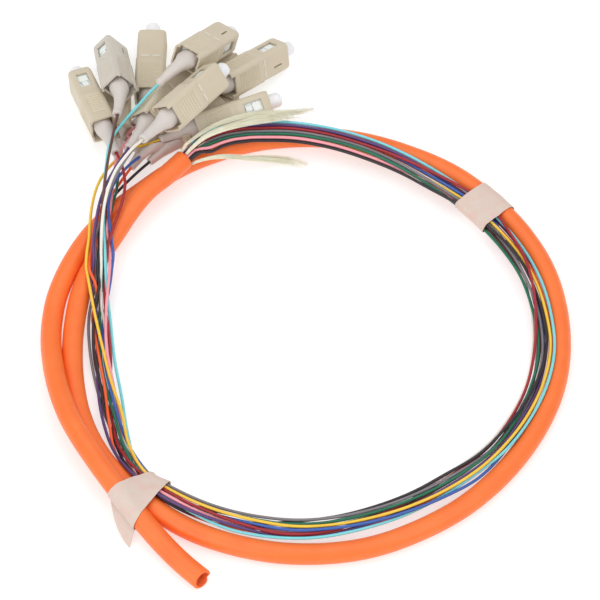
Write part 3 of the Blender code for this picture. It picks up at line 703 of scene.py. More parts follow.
@dataclass
class Jacket:
    """The orange jacket: a round tube with both ends open, the cut stub a little crushed."""

    radius: float = 3.1 * MM
    bore: float = 2.3 * MM
    lip: float = 0.25 * MM
    near_mouth: tuple[float, float, float] = (-35.0, 45.0, 9.8)
    mouth_depth: float = 4.0 * MM
    stub_depth: float = 9.0 * MM
    crushed_length: float = 14 * MM
    widening: float = 0.04
    flattening: float = 0.2
    rim_length: float = 2.0 * MM
    notch_angle: float = 5.6
    notch_spread: float = 0.3
    notch_mm: float = 0.7
    slant_mm: float = 0.6
    sides: int = 40
    spacing: float = 1.6 * MM
    route: np.ndarray = field(default_factory=lambda: np.empty((0, 3)))

    def read_route(self) -> None:
        """Reads the centre line from the CAD tube, starting at the stripped end."""
        coarse = centre_line("jacket", planned(self.near_mouth), self.radius)
        self.route = curve_through(coarse, self.spacing)

    def profile(self, mouth: int, stub: int) -> tuple[np.ndarray, np.ndarray, np.ndarray]:
        """The rings of the jacket's closed surface, in order.

        They run from the bottom of the mouth's bore out over the rim, along the outside to the
        stub's rim, and back into the stub's bore, so each end has a wall and a hollow.

        Args:
            mouth: how many points of the route the mouth's bore takes.
            stub: how many the stub's bore takes.

        Returns:
            For each ring the number of its point on the route, its radius, and how far it is
            shifted along the route.
        """
        lip, last = self.lip, len(self.route) - 1
        order = [
            *[(k, self.bore, 0.0) for k in range(mouth, -1, -1)],
            (0, self.radius - lip, -0.02 * MM),
            (0, self.radius - 0.3 * lip, 0.1 * MM),
            (0, self.radius, lip),
            *[(k, self.radius, 0.0) for k in range(1, last)],
            (last, self.radius, -lip),
            (last, self.radius - 0.3 * lip, -0.1 * MM),
            (last, self.radius - lip, 0.02 * MM),
            *[(k, self.bore, 0.0) for k in range(last, last - 1 - stub, -1)],
        ]
        index, radii, shift = (np.array(column) for column in zip(*order))
        return index, radii, shift

    def crushed(
        self, rings: np.ndarray, centres: np.ndarray, side: np.ndarray, up: np.ndarray, share: np.ndarray
    ) -> np.ndarray:
        """Flattens rings towards an oval: squeezed upwards and widened sideways by a share of each.

        Args:
            rings: the rings' points.
            centres: the middle of each ring.
            side: the sideways direction at each ring.
            up: the upward direction at each ring.
            share: how much of the crushing each ring takes, from 0 to 1.

        Returns:
            The rings' new points.
        """
        offset = rings - centres[:, None, :]
        wide = (offset * side[:, None, :]).sum(-1, keepdims=True) * side[:, None, :]
        tall = (offset * up[:, None, :]).sum(-1, keepdims=True) * up[:, None, :]
        share = share[:, None, None]
        squeezed = wide * self.widening * share - tall * self.flattening * share
        return centres[:, None, :] + offset + squeezed

    def build(self, wardrobe: Wardrobe) -> bpy.types.Object:
        """Makes the jacket: round rings along the profile, the stub's crushed, slanted and notched.

        Args:
            wardrobe: gives the materials.

        Returns:
            The piece.
        """
        mouth = max(2, int(round(self.mouth_depth / self.spacing)))
        stub = max(2, int(round(self.stub_depth / self.spacing)))
        index, radii, shift = self.profile(mouth, stub)
        along, side, up = (directions[index] for directions in path_frames(self.route))
        centres = self.route[index] + along * shift[:, None]
        angle = ring_angles(self.sides)
        rings = centres[:, None, :] + radii[:, None, None] * spokes(side, up, angle)
        from_end = (len(self.route) - 1 - index) * self.spacing
        share = np.clip(1 - from_end / self.crushed_length, 0, 1) ** 2
        rings = self.crushed(rings, centres, side, up, share)
        from_notch = (angle - self.notch_angle + math.pi) % math.tau - math.pi
        notch = np.exp(-((from_notch / self.notch_spread) ** 2))
        slant = self.slant_mm * (1 + np.sin(angle))
        rim_share = np.clip(1 - from_end / self.rim_length, 0, 1)
        cut_back = rim_share[:, None] * (self.notch_mm * notch + slant)[None, :] * MM
        rings -= along[:, None, :] * cut_back[..., None]
        points = np.vstack([rings.reshape(-1, 3), centres[0], centres[-1]])
        rows = len(index)
        piece = make_object("orange_jacket", points, tube_faces(rows, self.sides))
        sharpen(piece, 50)
        row_of_face = np.repeat(np.arange(rows - 1), self.sides)
        inside = np.ones(len(piece.data.polygons), np.int32)
        inside[:len(row_of_face)] = (row_of_face < mouth + 1) | (row_of_face > rows - stub - 3)
        piece.data.polygons.foreach_set("material_index", inside)
        materials = [wardrobe.get(Finish.JACKET.value), wardrobe.get(Finish.BORE.value)]
        dress(piece, materials, FIXED_BODY)
        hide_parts("jacket")
        return piece

    def declare(self, piece: bpy.types.Object) -> None:
        """Does nothing."""


@dataclass
class Fibre:
    """One coated fibre, from the jacket's mouth to its connector's boot."""

    colour: str
    radius: float = 0.45 * MM
    sides: int = 10
    spacing: float = 1.7 * MM
    tucked: float = 2.5 * MM
    route: np.ndarray = field(default_factory=lambda: np.empty((0, 3)))

    def build(self, jacket: Jacket, wardrobe: Wardrobe) -> bpy.types.Object:
        """Sweeps a round section along the CAD tube's route, with both ends let into what they enter.

        Args:
            jacket: the jacket, whose mouth the fibre leaves.
            wardrobe: gives the coating's material.

        Returns:
            The piece.
        """
        coarse = centre_line("fibre_" + self.colour, jacket.route[0], self.radius)
        route = curve_through(coarse, self.spacing)
        ends = unit(np.array([route[0] - route[1], route[-1] - route[-2]])) * 0.5 * self.tucked
        self.route = np.vstack([route[0] + ends[0], route, route[-1] + ends[1]])
        rings = swept(self.route, np.full(len(self.route), self.radius), self.sides)
        points = np.vstack([rings.reshape(-1, 3), self.route[:1], self.route[-1:]])
        piece = make_object(self.colour + "_fibre", points, tube_faces(len(self.route), self.sides))
        sharpen(piece, 60)
        dress(piece, [wardrobe.coating(self.colour)], FIXED_BODY)
        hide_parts("fibre_" + self.colour)
        return piece

    def declare(self, piece: bpy.types.Object, pieces_on_it: Sequence[bpy.types.Object]) -> None:
        """Does nothing."""


# Connectors


class Side(Enum):
    """The four sides of a connector, by the direction that each faces in its own frame."""

    LEFT = 0
    TOP = 1
    RIGHT = 2
    BOTTOM = 3

    @property
    def broad(self) -> bool:
        """Whether it is one of the two wider sides."""
        return self in BROAD_SIDES


NARROW_SIDES = (Side.LEFT, Side.RIGHT)
BROAD_SIDES = (Side.TOP, Side.BOTTOM)


@dataclass(frozen=True)
class Relief:
    """A rectangle on one side of a sleeve that stands out, lies in, or is cut through."""

    sides: tuple[Side, ...]
    behind: tuple[float, float]
    across: tuple[float, float]
    height: float = 0.0
    cut: bool = False
    material: int = 0


@dataclass(frozen=True)
class Grooves:
    """A row of rounded grooves across every side of a sleeve."""

    start: float
    pitch: float
    count: int
    depth: float
    broad_reach: float = 2.7 * MM
    narrow_reach: float = 2.1 * MM
    edge: float = 0.2 * MM
    rows_each: int = 6

    def reach(self, side: Side) -> float:
        """How far a groove reaches to either side of a side's middle."""
        return self.broad_reach if side.broad else self.narrow_reach

    def depths(self, side: Side, behind: np.ndarray, across: np.ndarray) -> np.ndarray:
        """How deep the grooves are at each point of a side: a cosine wave with sloped ends.

        Args:
            side: the side.
            behind: how far each row lies behind the mating face.
            across: the place of each column on the side.

        Returns:
            An array of rows by columns.
        """
        turn = (behind - self.start) / self.pitch
        wave = np.where((turn > 0) & (turn < self.count), 0.5 - 0.5 * np.cos(turn * math.tau), 0.0)
        over = np.clip((self.reach(side) + self.edge - np.abs(across)) / self.edge, 0, 1)
        return self.depth * wave[:, None] * over[None, :]


def plateau(values: np.ndarray, span: tuple[float, float], step: float) -> np.ndarray:
    """One within a span and zero outside it, with straight edges as wide as a step."""
    rise = np.clip((values - span[0]) / step + 0.5, 0, 1)
    return rise * np.clip((span[1] - values) / step + 0.5, 0, 1)


@dataclass
class Sleeve:
    """A box-shaped surface with rounded corners, swept back from the connector's mating face.

    A point is given by how far behind the mating face it lies and by its place on the outline,
    which runs round the left, top, right and bottom sides with an arc at each corner. Reliefs
    shift points along their side's outward direction, or leave out the faces between them.
    """

    columns: Sequence[float]
    width: Callable[[np.ndarray], np.ndarray]
    height: Callable[[np.ndarray], np.ndarray]
    corner: float
    reliefs: Sequence[Relief] = ()
    grooves: Grooves | None = None
    step: float = 0.06 * MM
    full_at: float = 12 * MM
    arc: int = 5

    def both_edges(self, span: tuple[float, float]) -> list[float]:
        """For each end of a span, the places half a step before and after it."""
        return [end + way * self.step / 2 for end in span for way in (-1, 1)]

    def stations(self, side: Side) -> np.ndarray:
        """Places across one side where the outline has points.

        Args:
            side: the side.

        Returns:
            The places, from the side's first edge to its last.
        """
        full = (self.width if side.broad else self.height)(np.array([self.full_at]))[0]
        flat = full / 2 - self.corner
        places = [-flat, 0.0, flat]
        for relief in self.reliefs:
            if side in relief.sides:
                places += self.both_edges(relief.across)
        if self.grooves:
            reach, edge = self.grooves.reach(side), self.grooves.edge
            places += [-reach - edge, -reach, reach, reach + edge]
        return np.unique(np.clip(np.round(places, 7), -flat, flat))

    def rows(self) -> np.ndarray:
        """Distances behind the mating face where the surface has a ring of points.

        Returns:
            The distances, in rising order.
        """
        places = list(self.columns)
        for relief in self.reliefs:
            places += self.both_edges(relief.behind)
        if self.grooves:
            spot = np.arange(self.grooves.count * self.grooves.rows_each + 1)
            places += list(self.grooves.start + spot * self.grooves.pitch / self.grooves.rows_each)
        return np.unique(np.clip(np.round(places, 7), min(self.columns), max(self.columns)))

    def lift(self, side: Side, behind: np.ndarray, across: np.ndarray) -> np.ndarray:
        """How far each point of a side stands out: reliefs with steep edges, less the grooves.

        Args:
            side: the side.
            behind: how far each row lies behind the mating face.
            across: the place of each column on the side.

        Returns:
            An array of rows by columns.
        """
        lift = np.zeros((len(behind), len(across)))
        for relief in self.reliefs:
            if side in relief.sides and not relief.cut:
                along = plateau(behind, relief.behind, self.step)
                over = plateau(across, relief.across, self.step)
                lift += relief.height * along[:, None] * over[None, :]
        if self.grooves:
            lift -= self.grooves.depths(side, behind, across)
        return lift

    def surface(self) -> tuple[np.ndarray, np.ndarray, np.ndarray, int]:
        """The sleeve's points and faces in the connector's frame.

        Returns:
            Points, faces, the material index of each face, and how many points a row has.
        """
        behind = self.rows()
        half_wide, half_tall = self.width(behind) / 2, self.height(behind) / 2
        y_parts, z_parts, sides, places = [], [], [], []
        for side in Side:
            across = self.stations(side)
            turn = side.value * math.pi / 2
            cos, sin = math.cos(turn), math.sin(turn)
            to_edge, to_face = (half_wide, half_tall) if side.broad else (half_tall, half_wide)
            stretch = (to_edge - self.corner) / across.max()
            out = to_face[:, None] + self.lift(side, behind, across)
            place = across[None, :] * stretch[:, None]
            angle = turn + np.arange(1, self.arc) / self.arc * math.pi / 2
            middle_y = (half_wide - self.corner)[:, None] * (1 if side in (Side.LEFT, Side.BOTTOM) else -1)
            middle_z = (half_tall - self.corner)[:, None] * (1 if side in (Side.LEFT, Side.TOP) else -1)
            y_parts += [out * cos - place * sin, middle_y + self.corner * np.cos(angle)]
            z_parts += [out * sin + place * cos, middle_z + self.corner * np.sin(angle)]
            sides += [side] * len(across) + [None] * len(angle)
            places += [*across, *[0.0] * len(angle)]
        y, z = np.concatenate(y_parts, axis=1), np.concatenate(z_parts, axis=1)
        points = np.stack([np.repeat(-behind[:, None], len(sides), 1), y, z], axis=-1)
        faces, index = self.kept_faces(behind, sides, np.array(places))
        return points.reshape(-1, 3), faces, index, len(sides)

    def kept_faces(
        self, behind: np.ndarray, sides: Sequence[Side | None], places: np.ndarray
    ) -> tuple[np.ndarray, np.ndarray]:
        """The faces that no relief cuts away.

        Args:
            behind: how far each row lies behind the mating face.
            sides: the side that each column lies on, or None at a corner.
            places: the place of each column on its side.

        Returns:
            The faces, and the material index of each.
        """
        columns, gaps = len(sides), len(behind) - 1
        faces = grid_faces(gaps + 1, columns, True)[:, ::-1]
        middle_behind = np.repeat((behind[:-1] + behind[1:]) / 2, columns)
        middle_place = np.tile((places + np.roll(places, -1)) / 2, gaps)
        on_side = [side if side is sides[(k + 1) % columns] else None for k, side in enumerate(sides)]
        keep = np.ones(len(faces), bool)
        index = np.zeros(len(faces), np.int32)
        for relief in self.reliefs:
            within = (
                np.tile([side in relief.sides for side in on_side], gaps)
                & (middle_behind > relief.behind[0]) & (middle_behind < relief.behind[1])
                & (middle_place > relief.across[0]) & (middle_place < relief.across[1])
            )
            if relief.cut:
                keep &= ~within
            index[within] = relief.material
        return faces[keep], index[keep]


@dataclass
class Connector:
    """A push-pull connector: sliding housing, plug frame with ferrule, boot and dust cap.

    Its own frame has the mating face's middle at the origin and looks along x.
    """

    colour: str
    front: tuple[float, float, float]
    turn: tuple[float, float, float]
    bend: tuple[float, float]
    length: float = 24.5 * MM
    width: float = 9.0 * MM
    height: float = 7.4 * MM
    wall: float = 0.6 * MM
    corner: float = 1.15 * MM
    flare: float = 0.15 * MM
    nose: float = 1.3 * MM
    nose_bend: float = 0.35
    nose_taper: tuple[float, float] = (-0.53 * MM, -0.22 * MM)
    step_at: float = 10.9 * MM
    step_run: float = 0.25 * MM
    grooves: Grooves = Grooves(start=13.0 * MM, pitch=1.05 * MM, count=8, depth=0.22 * MM)
    window: tuple[float, float] = (2.6 * MM, 8.6 * MM)
    window_half: float = 1.8 * MM
    slit: Relief = Relief((Side.TOP,), (3.4 * MM, 6.6 * MM), (1.0 * MM, 1.6 * MM), cut=True)
    # Spans and height of the raised bars across the wide sides at the step, which carry the painted
    # highlight.
    ridge_spans: tuple = ((-3.1 * MM, -0.5 * MM), (0.5 * MM, 3.1 * MM))
    ridge_height: float = 0.1 * MM
    notch: float = 1.6 * MM
    notch_half: float = 3.1 * MM
    frame_recess: float = 0.4 * MM
    frame_play: float = 0.3 * MM
    frame_corner: float = 0.7 * MM
    frame_bevel: float = 0.3 * MM
    frame_taper: float = 0.4 * MM
    # For each part of a latch: its span behind the mating face, its half width and its height.
    latches: tuple = (
        ((3.4 * MM, 5.7 * MM), 1.5 * MM, 0.22 * MM),
        ((5.7 * MM, 8.3 * MM), 1.5 * MM, -0.5 * MM),
        ((5.9 * MM, 8.1 * MM), 0.85 * MM, 0.72 * MM),
    )
    ferrule_radius: float = 1.25 * MM
    ferrule_bevel: float = 0.15 * MM
    ferrule_tip: float = 0.85
    bore_radius: float = 2.1 * MM
    bore_depth: float = 8.0 * MM
    boot_seat: float = 3.0 * MM
    boot_length: float = 14.5 * MM
    boot_steps: int = 40
    # The boot's shape: shares of its length, with its width and height there in millimetres.
    boot_shares: tuple = (0.0, 0.02, 0.2, 0.27, 0.34, 0.45, 0.62, 0.9, 0.92, 0.985, 1.0)
    boot_widths: tuple = (6.4, 6.6, 6.55, 5.9, 5.0, 4.15, 3.5, 2.75, 3.0, 3.0, 2.7)
    boot_heights: tuple = (5.4, 5.6, 5.6, 5.3, 4.8, 4.1, 3.5, 2.75, 3.0, 3.0, 2.7)
    boot_hole: float = 0.62 * MM
    cap_radius: float = 2.4 * MM
    cap_taper: float = 0.97
    cap_play: float = 0.24 * MM
    cap_start: float = 0.3 * MM
    cap_head: float = 4.3 * MM
    cap_sleeve: float = 5.0 * MM
    cap_end_wall: float = 1.6 * MM
    cap_round: float = 1.5 * MM
    round_sides: int = 28

    def in_row_frame(self, points: np.ndarray) -> np.ndarray:
        """Turns points by roll, then pitch, then heading, and moves them to the mating face's place."""
        heading, pitch, roll = self.turn
        turn = plane_turn(heading, 0, 1) @ plane_turn(pitch, 0, 2) @ plane_turn(roll, 1, 2)
        return points @ turn.T + np.array(self.front) * MM - ORIGIN

    def housing_size(self, full: float, behind: np.ndarray) -> np.ndarray:
        """The housing's width or height: narrow at the nose, full to the step, then flared.

        Args:
            full: the full width or height.
            behind: distances behind the mating face.

        Returns:
            The width or height at each distance.
        """
        at = (
            0.0, self.nose_bend * self.nose, self.nose, self.step_at,
            self.step_at + self.step_run, self.length,
        )
        more = (*self.nose_taper, 0.0, 0.0, 2 * self.flare, 2 * self.flare)
        return full + np.interp(behind, at, more)

    def build_housing(self, wardrobe: Wardrobe) -> bpy.types.Object:
        """The outer housing: windows in the narrow sides, grooves, raised bars with a painted highlight, and
        a rear notch.

        Args:
            wardrobe: gives the materials.

        Returns:
            The piece.
        """
        ridge_span = (self.step_at - 0.8 * MM, self.step_at - 0.2 * MM)
        sleeve = Sleeve(
            columns=[
                0.0, self.nose_bend * self.nose, self.nose, 6 * MM, self.step_at,
                self.step_at + self.step_run, 18 * MM, self.length,
            ],
            width=lambda behind: self.housing_size(self.width, behind),
            height=lambda behind: self.housing_size(self.height, behind),
            corner=self.corner,
            grooves=self.grooves,
            reliefs=[
                Relief(NARROW_SIDES, self.window, (-self.window_half, self.window_half), cut=True),
                Relief(
                    BROAD_SIDES, (self.length - self.notch, self.length + MM),
                    (-self.notch_half, self.notch_half), cut=True,
                ),
                # The raised bars at the step, in the paler material that paints their highlight.
                *[
                    Relief(BROAD_SIDES, ridge_span, span, self.ridge_height, material=1)
                    for span in self.ridge_spans
                ],
                *([self.slit] if self.colour in SLIT_HOUSINGS else []),
            ],
        )
        points, faces, index, _ = sleeve.surface()
        piece = make_object(self.colour + "_connector_housing", self.in_row_frame(points), [faces])
        piece.data.polygons.foreach_set("material_index", index)
        wall = piece.modifiers.new("wall", "SOLIDIFY")
        wall.thickness = self.wall
        wall.offset = -1
        wall.use_even_offset = True
        wall.thickness_clamp = 0
        settle(piece)
        sharpen(piece, 32)
        finish = Finish.GREY_HOUSING if self.colour == GREYER_HOUSING else Finish.HOUSING
        materials = [wardrobe.get(finish.value), wardrobe.get(Finish.RIDGE_HIGHLIGHT.value)]
        dress(piece, materials, self.colour + "_housing")
        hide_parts("grip_" + self.colour)
        return piece

    def frame_size(self, full: float, behind: np.ndarray) -> np.ndarray:
        """The plug frame's width or height: bevelled at its front edge, then full."""
        start = self.frame_recess
        return full - np.interp(behind, (start, start + self.frame_bevel), (self.frame_taper, 0.0))

    def build_frame(self, wardrobe: Wardrobe) -> bpy.types.Object:
        """The white plug frame, with a stepped latch behind each window and the round ferrule well.

        Args:
            wardrobe: gives the material.

        Returns:
            The piece.
        """
        wide = self.width - 2 * self.wall - 2 * self.frame_play
        tall = self.height - 2 * self.wall - 2 * self.frame_play
        rear = self.length - self.boot_seat - self.frame_play
        sleeve = Sleeve(
            columns=[self.frame_recess, self.frame_recess + self.frame_bevel, 12 * MM, rear],
            width=lambda behind: self.frame_size(wide, behind),
            height=lambda behind: self.frame_size(tall, behind),
            corner=self.frame_corner,
            reliefs=[
                Relief(NARROW_SIDES, span, (-half, half), height) for span, half, height in self.latches
            ],
        )
        points, faces, _, sides = sleeve.surface()
        front = points[:sides]
        recess = -self.frame_recess
        well = [
            (recess, self.bore_radius),
            (-self.bore_depth, self.bore_radius),
            (-self.bore_depth, self.ferrule_radius),
            (recess - self.ferrule_bevel, self.ferrule_radius),
            (recess, self.ferrule_tip * self.ferrule_radius),
        ]
        rings = turned(well, np.arctan2(front[:, 2], front[:, 1])).reshape(-1, 3)
        start = len(points)
        pole = start + len(front) + len(rings)
        well_faces = grid_faces(len(well) + 1, sides, True) + start
        tip = end_fan(np.arange(sides) + pole - sides, pole, False)
        back = end_fan(np.arange(sides) + start - sides, pole + 1, True)
        poles = [(recess, 0.0, 0.0), (-rear, 0.0, 0.0)]
        everything = self.in_row_frame(np.vstack([points, front, rings, poles]))
        piece = make_object(self.colour + "_plug_frame", everything, [faces, well_faces, tip, back])
        close_seams(piece)
        sharpen(piece, 35)
        dress(piece, [wardrobe.get(Finish.FRAME.value)], FIXED_BODY)
        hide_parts("plug_frame_" + self.colour)
        return piece

    def boot_line(self) -> tuple[np.ndarray, np.ndarray]:
        """The boot's middle line in the connector's frame, from its seat to its tip.

        Of eight equal stretches the first one and a half and the last one and a half are straight,
        and the five between them bend evenly.

        Returns:
            The line's points, and its direction at each.
        """
        down, left = (math.radians(angle) for angle in self.bend)
        steps = self.boot_steps
        share = np.clip(((np.arange(steps) + 0.5) * 8 / steps - 1.5) / 5, 0, 1)
        a, b = down * share, left * share
        heading = np.column_stack([-np.cos(a) * np.cos(b), np.sin(b), -np.sin(a)])
        start = np.array((-self.length + self.boot_seat, 0.0, 0.0))
        points = np.vstack([start, start + np.cumsum(heading * self.boot_length / steps, axis=0)])
        return points, np.vstack([heading[:1], heading])

    def build_boot(self, wardrobe: Wardrobe) -> bpy.types.Object:
        """The strain relief boot: an oval base, a rounded shoulder, a neck and a beaded open tip.

        Args:
            wardrobe: gives the material.

        Returns:
            The piece.
        """
        points, heading = self.boot_line()
        last = len(points) - 1
        share = np.linspace(0, 1, len(points))
        hole = [2 * self.boot_hole, 2 * self.boot_hole]
        width, height = (
            np.concatenate([np.interp(share, self.boot_shares, np.array(sizes) * MM), hole]) / 2
            for sizes in (self.boot_widths, self.boot_heights)
        )
        # The rings run to the tip, in over its rim and a little way back inside.
        pick = np.concatenate([np.arange(len(points)), [last, last - 3]])
        side = unit(np.cross(heading, (0.0, 0.0, 1.0)))
        up = np.cross(side, heading)
        angle = ring_angles(self.round_sides)
        rings = (
            points[pick][:, None, :]
            + (width[:, None] * np.cos(angle))[..., None] * side[pick][:, None, :]
            + (height[:, None] * np.sin(angle))[..., None] * up[pick][:, None, :]
        )
        everything = self.in_row_frame(np.vstack([rings.reshape(-1, 3), points[pick[[0, -1]]]]))
        faces = tube_faces(len(rings), self.round_sides, flipped=True)
        piece = make_object(self.colour + "_connector_boot", everything, faces)
        sharpen(piece, 40)
        dress(piece, [wardrobe.get(Finish.BOOT.value)], FIXED_BODY)
        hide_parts("boot_" + self.colour)
        return piece

    def build_cap(self, wardrobe: Wardrobe) -> bpy.types.Object:
        """The dust cap, turned about the connector's axis: a rounded head and a sleeve on the ferrule.

        Args:
            wardrobe: gives the material.

        Returns:
            The piece.
        """
        front = self.cap_start + self.cap_head
        bottom = front - self.cap_end_wall
        bore = self.ferrule_radius + self.cap_play
        sleeve = self.bore_radius - self.frame_play
        shoulder, top = front - self.cap_round, self.cap_taper * self.cap_radius
        profile = [
            (bottom, bore), (-self.cap_sleeve, bore), (-self.cap_sleeve, sleeve), (self.cap_start, sleeve),
            (self.cap_start, self.cap_radius - 0.15 * MM), (0.45 * MM, self.cap_radius), (shoulder, top),
            *[
                (shoulder + self.cap_round * math.sin(a), top - self.cap_round * (1 - math.cos(a)))
                for a in np.linspace(0, math.pi / 2, 7)[1:]
            ],
        ]
        rings = turned(profile, ring_angles(self.round_sides))
        poles = [(bottom, 0.0, 0.0), (front, 0.0, 0.0)]
        everything = self.in_row_frame(np.vstack([rings.reshape(-1, 3), poles]))
        piece = make_object(self.colour + "_dust_cap", everything, tube_faces(len(rings), self.round_sides))
        sharpen(piece, 45)
        body = FIXED_BODY if self.colour in HELD_CAPS else self.colour + "_cap"
        dress(piece, [wardrobe.get(Finish.CAP.value)], body)
        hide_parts("dust_cap_" + self.colour)
        return piece

    def build(self, wardrobe: Wardrobe) -> list[bpy.types.Object]:
        """Makes the connector's four pieces."""
        makers = (self.build_boot, self.build_frame, self.build_housing, self.build_cap)
        return [maker(wardrobe) for maker in makers]


@dataclass
class CoveredConnectors:
    """The four connectors under the heap, in the shape of their CAD core."""

    boot_radius: float = 3.25 * MM
    seat_share: float = 0.01

    def build(self, wardrobe: Wardrobe) -> bpy.types.Object:
        """Copies the core's mesh, closes its seams, and gives the boots their own material.

        Args:
            wardrobe: gives the materials.

        Returns:
            The piece.
        """
        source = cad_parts["hidden_connectors"].data
        corners, number = merged_corners(source)
        loops = np.empty(len(source.loops), np.int32)
        source.loops.foreach_get("vertex_index", loops)
        faces = number[loops].reshape(-1, 3)
        faces = faces[(faces != np.roll(faces, -1, axis=1)).all(axis=1)]
        piece = make_object("covered_connectors", corners, [faces])
        middles = corners[faces].mean(axis=1)
        on_boot = np.zeros(len(faces), bool)
        for seat, tip in COVERED_BOOTS.values():
            seat, tip = planned(seat), planned(tip)
            share = np.clip((middles - seat) @ (tip - seat) / ((tip - seat) @ (tip - seat)), 0, 1)
            away = np.linalg.norm(middles - seat - share[:, None] * (tip - seat), axis=1)
            on_boot |= (away < self.boot_radius) & (share > self.seat_share)
        piece.data.polygons.foreach_set("material_index", on_boot.astype(np.int32))
        sharpen(piece, 38)
        materials = [wardrobe.get(Finish.HOUSING.value), wardrobe.get(Finish.BOOT.value)]
        dress(piece, materials, FIXED_BODY)
        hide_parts("hidden_connectors")
        return piece


# Tape and yarn


